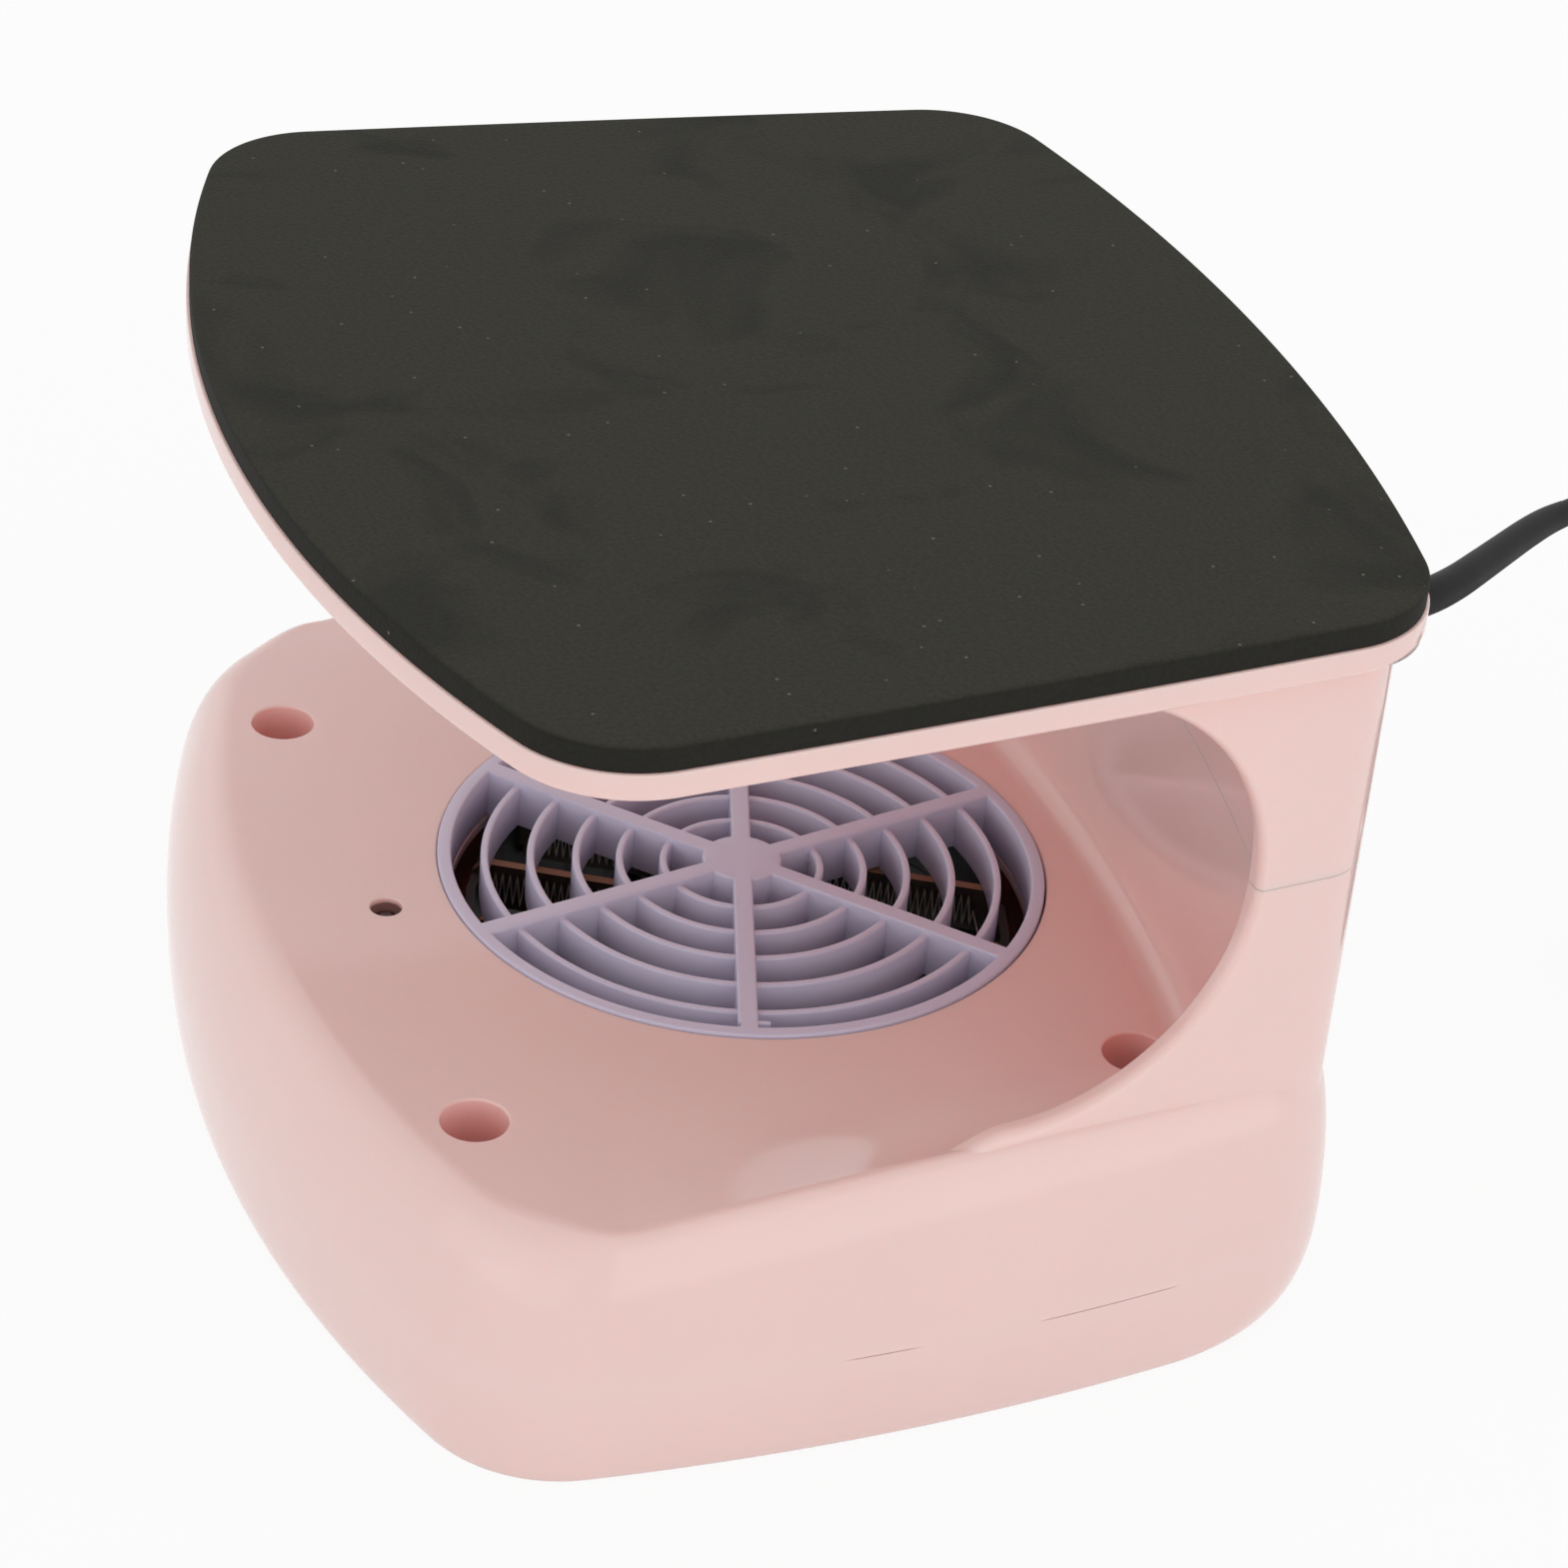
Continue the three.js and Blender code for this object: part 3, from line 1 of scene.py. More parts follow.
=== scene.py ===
"""Looks of the nail polish fan dryer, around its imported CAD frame. Laid out as an add-on.

Sizes inside the functions are millimetres; a mesh is turned to metres when it is made. The
pieces are drawn about the fan axis, as the CAD source draws them, and moved back by SHIFT.
"""

from math import asin, atan2, cos, degrees, pi, radians, sin, tan
from types import SimpleNamespace

import bpy
import numpy as np
from mathutils import Matrix, Vector


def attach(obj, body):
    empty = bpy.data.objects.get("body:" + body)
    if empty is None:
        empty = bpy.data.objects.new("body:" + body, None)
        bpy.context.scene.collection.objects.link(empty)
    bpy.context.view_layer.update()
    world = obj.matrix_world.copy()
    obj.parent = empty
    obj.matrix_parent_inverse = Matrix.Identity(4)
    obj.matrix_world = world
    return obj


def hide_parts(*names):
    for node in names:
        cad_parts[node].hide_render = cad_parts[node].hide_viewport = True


bl_info = {
    "name": "Nail polish fan dryer",
    "version": (1, 0, 0),
    "blender": (4, 5, 0),
    "location": "3D View > Sidebar > Dryer",
    "description": "Builds the shells, grilles, foam pad, lead and stage of a nail polish fan dryer",
    "category": "Object",
}

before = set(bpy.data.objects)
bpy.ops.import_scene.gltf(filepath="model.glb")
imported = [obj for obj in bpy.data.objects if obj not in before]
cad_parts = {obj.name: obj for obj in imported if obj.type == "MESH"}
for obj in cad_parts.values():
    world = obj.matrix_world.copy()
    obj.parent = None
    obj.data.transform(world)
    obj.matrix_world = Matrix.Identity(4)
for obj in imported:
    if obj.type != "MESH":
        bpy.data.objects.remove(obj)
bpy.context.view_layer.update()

MM = 0.001
SHIFT = np.array([0.0, 4.225, 0.0])
FIT = 0.3  # gap between two pieces that seat on each other
WALL = 2.4
OVERRUN = 5.0

# Plan outlines in millimetres: front, rear and side are measured from the fan axis.
HOUSING = {
    "front": 83.1, "front_radius": 203, "rear": 73.9, "rear_radius": 346, "side": 88.7,
    "side_radius": 385, "side_angle": 2.3, "front_corner": 28, "rear_corner": 19,
}
PAD = {
    "front": 80, "front_radius": 206, "rear": 74.2, "rear_radius": 340, "side": 87.6,
    "side_radius": 4000, "side_angle": 5, "front_corner": 18, "rear_corner": 18,
}
COLUMN = {
    "front": 30, "front_radius": 206, "rear": 70.2, "rear_radius": 337, "side": 83.8,
    "side_radius": 4000, "side_angle": 5, "front_corner": 9, "rear_corner": 9,
}
MOUTH = {**COLUMN, "front": 80, "rear": 53.5, "rear_radius": 340, "side": 81.2, "rear_corner": 5}

GIRTH = 17.0
CREST_INSET, BROW_INSET = 6.2, 10.1
CREST_TOP_Y, CREST_RADIUS = 23.4, 385.0
CREST_START_Y, BROW_START_Y = -45.0, -62.0
DISH_WIDTH = 24.0
CHEEK_DEPTH, CHEEK_EDGE, CHEEK_RUN = 43.4, 1.8, 9.0
SEAM_SHARE = 0.5294
RING_SHARES = np.array([0.258, 0.402, 0.545, 0.694, 0.845])
INTAKE_SHARES = np.array([0.5, 0.75])
WELLS = [(53.22, -57.7545), (-53.22, -57.7545), (60.316, 38.7975), (-60.316, 38.7975)]
SENSOR_Y = -55.7
SENSOR_LIP = 0.9  # the sensor's window is this thick; behind it the well widens and is dark
COLUMN_SCREW_X = 62.0
GLAND_X = 45.0
SEAM_TIGHT, SEAM_OPEN = 0.002, 0.075
SEAM_STRETCHES = [(-14.5, -2.5), (15.0, 38.0)]
COLUMN_SEAM = 0.03
GRILLE_GAP = 0.16  # round the outlet grille, which sits a little to one side in it
GRILLE_OFF = (-0.034, -0.094, 0)

# Free lead, from its outlet in the rear wall to where the coil starts: the CAD's own points.
LEAD_ROUTE = np.array([
    (0, 0, 0), (-0.2, 5.5, 0), (-0.9, 11.6, 0), (-2.4, 17.4, 0), (-4.9, 22.7, 0),
    (-8.5, 28.5, 0), (-12.3, 34.4, 0), (-16, 40.2, 0), (-18.9, 45.4, 0), (-21, 50.6, 0),
    (-22.9, 55.8, 0), (-24.6, 60.4, -0.8), (-26.4, 64.8, -2.9), (-28, 69, -6.6),
    (-29.4, 72.4, -12), (-30.2, 74.5, -18.6), (-30.6, 75.6, -27), (-30.8, 76, -38),
    (-31, 76.3, -49), (-31.2, 76.6, -59), (-31.7, 77.6, -67.8), (-32.8, 79.9, -75.4),
    (-34.4, 83.4, -81), (-36.2, 87.8, -84.4), (-37.6, 91.3, -85.2), (-39, 94.8, -85.2),
])


def linear(colour):
    """An sRGB hex colour as linear red, green and blue: each channel through the sRGB curve."""
    channels = [int(colour[k:k + 2], 16) / 255 for k in (1, 3, 5)]
    return tuple(c / 12.92 if c <= 0.04045 else ((c + 0.055) / 1.055) ** 2.4 for c in channels)


def length(name, default, description):
    return bpy.props.FloatProperty(
        name=name, description=description, default=default * MM, min=0, unit="LENGTH")


def colour(name, default, description):
    return bpy.props.FloatVectorProperty(
        name=name, description=description, default=linear(default), size=3, min=0, max=1,
        subtype="COLOR")


class DryerSizes(bpy.types.PropertyGroup):
    """Sizes of the dryer that a user may want to change."""

    face_height: length("Housing depth", 40, "Outlet face above the surface it stands on")
    mouth_height: length("Mouth height", 74.8, "Room for the fingers under the plate")
    plate_thickness: length("Plate thickness", 4.1, "Edge of the base plate")
    pad_thickness: length("Pad thickness", 3.7, "Foam pad on the base plate")
    crest_rise: length("Crest rise", 5.8, "Side crest above the outlet face")
    sill_height: length("Sill height", 7.2, "Lowest point of the round cheek cut")
    foot_fillet: length("Back wall fillet", 4, "Fillet at the back wall's foot")
    grille_radius: length("Grille radius", 46, "Outlet grille")
    grille_ring: length("Grille ring", 1.15, "Width of a ring of the outlet grille")
    grille_spoke: length("Grille spoke", 2.9, "Width of a spoke of the outlet grille")
    ring_drop: length("Ring drop", 0.9, "Rings below the top of the spokes")
    well_radius: length("Well radius", 4.8, "Screw wells in the outlet face")
    well_depth: length("Well depth", 12, "Screw wells in the outlet face")
    cord_radius: length("Cord radius", 1.9, "Mains lead")
    edge: length("Edge rounding", 0.35, "Small rounding of the moulded edges")


class DryerColours(bpy.types.PropertyGroup):
    """Colours of the dryer that a user may want to change."""

    shell: colour("Shell", "#ECCDC8", "Pink moulded plastic of the shells")
    grille: colour("Grille", "#CFCADF", "Lilac moulded plastic of the grilles")
    foam: colour("Foam", "#2D2C24", "Foam pad")
    cord: colour("Cord", "#131413", "Mains lead and plug")
    dark: colour("Dark plastic", "#17181A", "Fan duct and switch")
    rotor: colour("Rotor", "#1D1E21", "Fan rotor")
    # The mica's own colour, kept only on upward faces; the other faces are painted in shade.
    mica: colour("Mica", "#A97F62", "Cut edges of the heater strips")
    board: colour("Board", "#3E6B46", "Lacquer of the control board")
    ground: colour("Ground", "#FEFEFE", "Floor that the dryer stands on")


def read_sizes(context):
    """The size properties in millimetres, with the heights that follow from them."""
    group = context.scene.dryer_sizes
    s = SimpleNamespace(**{name: getattr(group, name) / MM for name in DryerSizes.__annotations__})
    s.plate_low = s.face_height + s.mouth_height
    s.plate_high = s.plate_low + s.plate_thickness
    s.seam = s.face_height + s.mouth_height * SEAM_SHARE
    s.ledge = s.face_height + 0.4 - 8 - FIT
    s.well_floor = s.face_height - s.well_depth
    s.duct_low = 0.8 + 3 + FIT + WALL + FIT
    s.duct_high = s.duct_low + 15.2
    s.gland = np.array([GLAND_X, COLUMN["rear"] - GLAND_X ** 2 / (2 * COLUMN["rear_radius"]),
                        s.plate_low - 14.8])
    s.switch = s.plate_low - 17.8
    return s


# Surfaces

# A closed skin is its points, its four-cornered faces and its triangles, as whole arrays.

NO_QUADS, NO_TRIANGLES = np.empty((0, 4), int), np.empty((0, 3), int)


def meeting(a, radius_a, b, radius_b, side):
    """Where two circles meet: along the line of their centres by the cosine rule, then off
    it by what is left of the first radius."""
    apart = np.hypot(*(b - a))
    along = (radius_a ** 2 - radius_b ** 2 + apart ** 2) / (2 * apart)
    off = side * np.sqrt(max(radius_a ** 2 - along ** 2, 0))
    way = (b - a) / apart
    return a + along * way + off * np.array([way[1], -way[0]])


def outline(form, steps=(40, 26, 56, 22, 40)):
    """Plan outline, anticlockwise from the middle of the front, as rows of x, y and the
    outward normal: front arc, corner, side arc, corner and rear arc, and their mirror image."""
    angle = radians(form["side_angle"])
    side_centre = np.array([form["side"] - form["side_radius"] * cos(angle),
                            -form["side_radius"] * sin(angle)])
    front_centre = np.array([0, form["front_radius"] - form["front"]])
    rear_centre = np.array([0, form["rear"] - form["rear_radius"]])
    a = meeting(front_centre, form["front_radius"] - form["front_corner"],
                side_centre, form["side_radius"] - form["front_corner"], -1)
    b = meeting(rear_centre, form["rear_radius"] - form["rear_corner"],
                side_centre, form["side_radius"] - form["rear_corner"], 1)
    turns = [-pi / 2, atan2(a[1] - front_centre[1], a[0]),
             atan2(a[1] - side_centre[1], a[0] - side_centre[0]),
             atan2(b[1] - side_centre[1], b[0] - side_centre[0]),
             atan2(b[1] - rear_centre[1], b[0]), pi / 2]
    arcs = [(front_centre, form["front_radius"]), (a, form["front_corner"]),
            (side_centre, form["side_radius"]), (b, form["rear_corner"]),
            (rear_centre, form["rear_radius"])]
    half = []
    for (centre, radius), start, end, count in zip(arcs, turns, turns[1:], steps):
        turn = np.linspace(start, end, count, endpoint=False)
        normal = np.column_stack([np.cos(turn), np.sin(turn)])
        half.append(np.hstack([centre + radius * normal, normal]))
    half = np.vstack(half)
    other = half[:0:-1] * [-1, 1, -1, 1]
    return np.vstack([half, [[0, form["rear"], 0, 1]], other])


def ring(plan, inset, z):
    """The plan outline moved in along its normals by inset, at height z."""
    place = plan[:, :2] - plan[:, 2:] * np.reshape(inset, (-1, 1))
    return np.column_stack([place, np.broadcast_to(z, len(plan))])


def loft(rings, wrap=False):
    """Closed skin through rings of equal counts, outward for rings that are anticlockwise
    seen against their way. Its ends are closed from their middles, or wrap joins them."""
    rings = np.asarray(rings, float)
    rows, count = rings.shape[:2]
    points = rings.reshape(-1, 3)
    k = np.arange(count)
    following = (k + 1) % count
    low = np.arange(rows if wrap else rows - 1)[:, None] * count
    high = (low + count) % (rows * count)
    quads = np.stack([low + k, low + following, high + following, high + k], -1).reshape(-1, 4)
    if wrap:
        return points, quads, NO_TRIANGLES
    points = np.vstack([points, rings[0].mean(0), rings[-1].mean(0)])
    first, last = rows * count, (rows - 1) * count
    start = np.stack([np.full(count, first), following, k], -1)
    end = np.stack([np.full(count, first + 1), last + k, last + following], -1)
    return points, quads, np.vstack([start, end])


def joined(*solids):
    """Several closed skins that don't touch, as one: each one's corners count on from the
    points before it."""
    starts = np.cumsum([0, *[len(points) for points, _, _ in solids[:-1]]])
    return (np.vstack([solid[0] for solid in solids]),
            np.vstack([solid[1] + start for solid, start in zip(solids, starts)]),
            np.vstack([solid[2] + start for solid, start in zip(solids, starts)]))


def moved(solid, by):
    return (solid[0] + np.asarray(by, float), *solid[1:])


def turned(solid, angle, axis=2):
    """The skin turned about the x, y or z axis through zero by an angle in degrees."""
    a, b = [(1, 2), (2, 0), (0, 1)][axis]
    points = solid[0].copy()
    c, s = cos(radians(angle)), sin(radians(angle))
    points[:, a], points[:, b] = solid[0][:, a] * c - solid[0][:, b] * s, \
        solid[0][:, a] * s + solid[0][:, b] * c
    return (points, *solid[1:])


def mirrored(solid):
    """The skin's mirror image in x, its faces turned round to point outwards again."""
    return solid[0] * [-1, 1, 1], solid[1][:, ::-1], solid[2][:, ::-1]


def prism(form, inset, low, high, steps=(24, 12, 24, 12, 24)):
    plan = outline(form, steps)
    return loft([ring(plan, inset, low), ring(plan, inset, high)])


def revolved(profile, sides=64, at=(0, 0)):
    """A profile of [radius, z] points, anticlockwise from its lower end, turned about an
    upright axis. Ends on the axis are closed from their middles; others join each other."""
    profile = np.asarray(profile, float)
    turn = np.linspace(0, 2 * pi, sides, endpoint=False)
    circle = np.column_stack([np.cos(turn), np.sin(turn), np.zeros(sides)])
    closed = profile[0, 0] > 0
    if not closed:
        profile = profile[1:-1]
    rings = profile[:, None, :1] * circle + [0, 0, 1] * profile[:, None, 1:]
    return moved(loft(rings, wrap=closed), [*at, 0])


def rod(x, y, low, high, radius, sides=32):
    return revolved([[0, low], [radius, low], [radius, high], [0, high]], sides, (x, y))


def rounded_loop(width, height, corner, steps=5):
    """A rectangle with rounded corners about zero, anticlockwise, as rows of two numbers:
    a quarter circle at each corner."""
    turn = np.linspace(0, pi / 2, steps)
    starts = np.array([[1, -1], [1, 1], [-1, 1], [-1, -1]])
    middle = starts * [width / 2 - corner, height / 2 - corner]
    angles = turn + (np.arange(4) * pi / 2 - pi / 2)[:, None]
    arcs = np.stack([np.cos(angles), np.sin(angles)], -1) * corner
    return (middle[:, None] + arcs).reshape(-1, 2)


def box(x, y, low, high, width, depth, corner=0.0):
    """A block between two heights, with its upright edges rounded by corner."""
    loop = rounded_loop(width, depth, corner, 5) if corner else \
        np.array([[1, -1], [1, 1], [-1, 1], [-1, -1]]) * [width / 2, depth / 2]
    rings = [np.column_stack([loop, np.full(len(loop), z)]) for z in (low, high)]
    return moved(loft(rings), [x, y, 0])


def eased_block(x, y, low, high, width, depth, corner, edge):
    """A block with rounded upright edges and eased rims: its outline draws in by a quarter
    circle over the last edge of height at both ends."""
    turn = np.linspace(0, pi / 2, 5)
    draw = edge * (1 - np.cos(turn))
    rise = edge * np.sin(turn)
    insets = np.concatenate([draw[::-1], draw])
    heights = np.concatenate([low + edge - rise[::-1], high - edge + rise])
    rings = [np.column_stack([rounded_loop(width - 2 * i, depth - 2 * i, corner - i * 0.9),
                              np.full(20, z)]) for i, z in zip(insets, heights)]
    return moved(loft(rings), [x, y, 0])


def bar(start, end, width, low, high, corner):
    """A straight bar along x from start to end with a rounded section."""
    loop = rounded_loop(width, high - low, corner, 4)
    loop[:, 1] += (low + high) / 2
    return loft([np.column_stack([np.full(len(loop), x), loop]) for x in (start, end)])


def swept(path, radii, sides=16):
    """A round section along a path that is never upright for long: its first axis is level
    and square to the path, its second square to both."""
    path = np.asarray(path, float)
    along = np.gradient(path, axis=0)
    along /= np.linalg.norm(along, axis=1, keepdims=True)
    level = np.cross([0, 0, 1.0], along)
    level /= np.linalg.norm(level, axis=1, keepdims=True)
    up = np.cross(along, level)
    turn = np.linspace(0, 2 * pi, sides, endpoint=False)[None, :, None]
    radii = np.broadcast_to(radii, len(path))[:, None, None]
    rings = path[:, None] + radii * (level[:, None] * np.cos(turn) + up[:, None] * np.sin(turn))
    return loft(rings)


def new_mesh(name, solid, angle):
    """A mesh in metres from a skin in millimetres, smooth except over edges past the angle."""
    points, quads, triangles = solid
    mesh = bpy.data.meshes.new(name)
    mesh.from_pydata(((points + SHIFT) * MM).tolist(), [], quads.tolist() + triangles.tolist())
    finish_shading(mesh, angle)
    return mesh


def finish_shading(mesh, angle):
    mesh.polygons.foreach_set("use_smooth", np.ones(len(mesh.polygons), bool))
    mesh.set_sharp_from_angle(angle=radians(angle))
    mesh.update()


def carved(name, base, steps, angle=26):
    """The base with each step's skin cut away, added or kept in common, in order, by the
    manifold boolean of closed skins."""
    scene = bpy.context.scene.collection
    piece = bpy.data.objects.new(name, new_mesh(name, base, 180))
    scene.objects.link(piece)
    tools = []
    for k, (operation, solid) in enumerate(steps):
        tool = bpy.data.objects.new(f"{name}_tool_{k}", new_mesh(f"{name}_tool_{k}", solid, 180))
        scene.objects.link(tool)
        tools.append(tool)
        modifier = piece.modifiers.new(f"step_{k}", "BOOLEAN")
        modifier.operation = operation
        modifier.solver = "MANIFOLD"
        modifier.object = tool
    graph = bpy.context.evaluated_depsgraph_get()
    mesh = bpy.data.meshes.new_from_object(piece.evaluated_get(graph))
    if len(mesh.polygons) < 4:
        raise RuntimeError(f"{name} came out empty")
    old = [piece, *tools]
    for item in old:
        data = item.data
        bpy.data.objects.remove(item)
        bpy.data.meshes.remove(data)
    mesh.name = name
    finish_shading(mesh, angle)
    piece = bpy.data.objects.new(name, mesh)
    scene.objects.link(piece)
    return piece


def carved_skin(name, base, steps):
    """The skin that carving leaves, in triangles and in millimetres, without a piece."""
    piece = carved(name, base, steps, 180)
    mesh = piece.data
    points = np.empty(len(mesh.vertices) * 3, np.float32)
    mesh.vertices.foreach_get("co", points)
    mesh.calc_loop_triangles()
    corners = np.empty(len(mesh.loop_triangles) * 3, np.int32)
    mesh.loop_triangles.foreach_get("vertices", corners)
    bpy.data.objects.remove(piece)
    bpy.data.meshes.remove(mesh)
    return points.reshape(-1, 3) / MM - SHIFT, NO_QUADS, corners.reshape(-1, 3)


def plain(name, solid, angle=26):
    piece = bpy.data.objects.new(name, new_mesh(name, solid, angle))
    bpy.context.scene.collection.objects.link(piece)
    return piece


def dress(piece, material, slot, body, *nodes):
    """Gives a finished piece its material and its body, and hides the CAD nodes that it stands for.
    """
    piece.data.materials.clear()
    piece.data.materials.append(material)
    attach(piece, body)
    if nodes:
        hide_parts(*nodes)
    return piece


# Materials


def add_node(tree, kind, sockets=None, **settings):
    """One node with its settings; sockets maps an input to a value or to another's output."""
    node = tree.nodes.new(kind)
    for key, value in settings.items():
        setattr(node, key, value)
    for key, value in (sockets or {}).items():
        if isinstance(value, bpy.types.NodeSocket):
            tree.links.new(value, node.inputs[key])
        else:
            node.inputs[key].default_value = value
    return node


def new_material(name):
    """An empty node material, with its shader and the object's own coordinates."""
    found = bpy.data.materials.get(name)
    if found:
        return found, None, None, None
    material = bpy.data.materials.new(name)
    material.use_nodes = True
    tree = material.node_tree
    tree.nodes.clear()
    shader = add_node(tree, "ShaderNodeBsdfPrincipled")
    add_node(tree, "ShaderNodeOutputMaterial", {"Surface": shader.outputs[0]})
    place = add_node(tree, "ShaderNodeTexCoord").outputs["Object"]
    return material, tree, shader, place


def rgba(value):
    return (*value[:3], 1.0)


def shade(value, share):
    return rgba([min(c * share, 1.0) for c in value])


def moulded_plastic(name, base, roughness=0.3, grain=1400.0, bump=0.02, variation=0.03,
                    glow=0.0):
    """Injection-moulded ABS: an even colour with faint cloudy flow in it, a gloss that breaks
    up a little, the orange peel of a polished tool, and every edge a shade paler, all but
    the flush edges that meet at the housing's seam. A light colour lets some light run
    through, red the furthest. With glow, its hollows are also painted warmer and more
    saturated: painted shade, found by ambient occlusion."""
    material, tree, shader, place = new_material(name)
    if tree is None:
        return material
    # Painted shade: with glow, hollows that ambient occlusion finds are mixed towards a warmer, more
    # saturated pink, in place of light bouncing round inside them.
    if glow:
        opening = add_node(tree, "ShaderNodeAmbientOcclusion", {"Distance": 0.07}, samples=4,
                           only_local=True)
        hollow = add_node(tree, "ShaderNodeMapRange", {
            "Value": opening.outputs["AO"], "From Min": 0.85, "From Max": 0.15})
        painted_hollow_shade = rgba([min(c * share, 1.0) for c, share in zip(base, (1.2, 0.85, 0.83))])
        base_mix = add_node(tree, "ShaderNodeMix", {
            "Factor": hollow.outputs[0], 6: rgba(base), 7: painted_hollow_shade}, data_type="RGBA").outputs[2]
    else:
        base_mix = rgba(base)
    cloud = add_node(tree, "ShaderNodeTexNoise", {"Vector": place, "Scale": 28.0, "Detail": 3.0})
    flow = add_node(tree, "ShaderNodeMapRange", {
        "Value": cloud.outputs["Fac"], "To Min": 1 - variation, "To Max": 1 + variation})
    mix = add_node(tree, "ShaderNodeMix", {
        "Factor": 1.0, 6: base_mix, 7: flow.outputs[0],
    }, data_type="RGBA", blend_type="MULTIPLY")
    surface = add_node(tree, "ShaderNodeNewGeometry")
    rounded = add_node(tree, "ShaderNodeBevel", {"Radius": 0.0003}, samples=4)
    height = add_node(tree, "ShaderNodeSeparateXYZ", {0: place})
    above = add_node(tree, "ShaderNodeMath", {
        0: height.outputs["Z"], 1: GIRTH * MM}, operation="SUBTRACT")
    away = add_node(tree, "ShaderNodeMath", {0: above.outputs[0]}, operation="ABSOLUTE")
    flush = add_node(tree, "ShaderNodeMath", {
        0: away.outputs[0], 1: 0.6 * MM}, operation="LESS_THAN")
    through = add_node(tree, "ShaderNodeMapRange", {
        "Value": away.outputs[0], "From Min": 0.5 * MM, "From Max": 5.0 * MM, "To Max": glow})
    soft = add_node(tree, "ShaderNodeMix", {
        "Factor": flush.outputs[0], 4: rounded.outputs[0], 5: surface.outputs["Normal"],
    }, data_type="VECTOR")
    same = add_node(tree, "ShaderNodeVectorMath", {
        0: soft.outputs[1], 1: surface.outputs["Normal"]}, operation="DOT_PRODUCT")
    # Every edge that the bevel finds, except the flush seam, is mixed a shade paler.
    paler_edge = add_node(tree, "ShaderNodeMapRange", {
        "Value": same.outputs["Value"], "From Min": 0.99, "From Max": 0.8, "To Min": 0.0,
        "To Max": 0.35})
    edge = add_node(tree, "ShaderNodeMix", {
        "Factor": paler_edge.outputs[0], 6: mix.outputs[2], 7: shade(base, 1.3),
    }, data_type="RGBA")
    tree.links.new(edge.outputs[2], shader.inputs["Base Color"])
    peel = add_node(tree, "ShaderNodeTexNoise", {"Vector": place, "Scale": grain, "Detail": 2.0})
    gloss = add_node(tree, "ShaderNodeTexNoise", {"Vector": place, "Scale": 90.0, "Detail": 4.0})
    rough = add_node(tree, "ShaderNodeMapRange", {
        "Value": gloss.outputs["Fac"], "To Min": roughness * 0.85, "To Max": roughness * 1.15})
    tree.links.new(rough.outputs[0], shader.inputs["Roughness"])
    relief = add_node(tree, "ShaderNodeBump", {
        "Height": peel.outputs["Fac"], "Strength": bump, "Distance": 0.0002,
        "Normal": soft.outputs[1]})
    tree.links.new(relief.outputs[0], shader.inputs["Normal"])
    if glow:
        tree.links.new(through.outputs[0], shader.inputs["Subsurface Weight"])
    shader.inputs["Subsurface Radius"].default_value = (1.0, 0.35, 0.3)
    shader.inputs["Subsurface Scale"].default_value = 0.002
    return material


def closed_cell_foam(name, base):
    """Die-cut EVA foam: matt, with fine cells of about half a millimetre, a few pale grains
    of dust, broad darker patches where hands have pressed it, and its cut sides painted
    much darker than the top, as painted shade."""
    material, tree, shader, place = new_material(name)
    if tree is None:
        return material
    patches = add_node(tree, "ShaderNodeTexNoise", {
        "Vector": place, "Scale": 36.0, "Detail": 3.0, "Roughness": 0.55, "Distortion": 0.7})
    pressed = add_node(tree, "ShaderNodeMapRange", {
        "Value": patches.outputs["Fac"], "From Min": 0.53, "From Max": 0.66})
    top = add_node(tree, "ShaderNodeMix", {
        "Factor": pressed.outputs[0], 6: rgba(base), 7: shade(base, 0.55),
    }, data_type="RGBA")
    # Painted shade: faces that turn away from straight up are mixed towards four tenths of the foam
    # colour, the shade on the pad's sides.
    upright = add_node(tree, "ShaderNodeSeparateXYZ", {
        0: add_node(tree, "ShaderNodeTexCoord").outputs["Normal"]})
    cut = add_node(tree, "ShaderNodeMapRange", {
        "Value": upright.outputs["Z"], "From Min": 0.85, "From Max": 0.35})
    mix = add_node(tree, "ShaderNodeMix", {
        "Factor": cut.outputs[0], 6: top.outputs[2], 7: shade(base, 0.4),
    }, data_type="RGBA")
    cells = add_node(tree, "ShaderNodeTexNoise", {"Vector": place, "Scale": 1500.0, "Detail": 3.0})
    speckle = add_node(tree, "ShaderNodeMapRange", {
        "Value": cells.outputs["Fac"], "From Min": 0.3, "From Max": 0.7, "To Min": 0.8,
        "To Max": 1.22})
    grained = add_node(tree, "ShaderNodeMix", {
        "Factor": 1.0, 6: mix.outputs[2], 7: speckle.outputs[0],
    }, data_type="RGBA", blend_type="MULTIPLY")
    dust = add_node(tree, "ShaderNodeTexVoronoi", {"Vector": place, "Scale": 210.0})
    grain = add_node(tree, "ShaderNodeMapRange", {
        "Value": dust.outputs["Distance"], "From Min": 0.035, "From Max": 0.06, "To Min": 1.0,
        "To Max": 0.0})
    dusted = add_node(tree, "ShaderNodeMix", {
        "Factor": grain.outputs[0], 6: grained.outputs[2], 7: shade(base, 5.0),
    }, data_type="RGBA")
    tree.links.new(dusted.outputs[2], shader.inputs["Base Color"])
    shader.inputs["Roughness"].default_value = 0.92
    shader.inputs["Specular IOR Level"].default_value = 0.35
    relief = add_node(tree, "ShaderNodeBump", {
        "Height": cells.outputs["Fac"], "Strength": 0.5, "Distance": 0.00025})
    tree.links.new(relief.outputs[0], shader.inputs["Normal"])
    return material


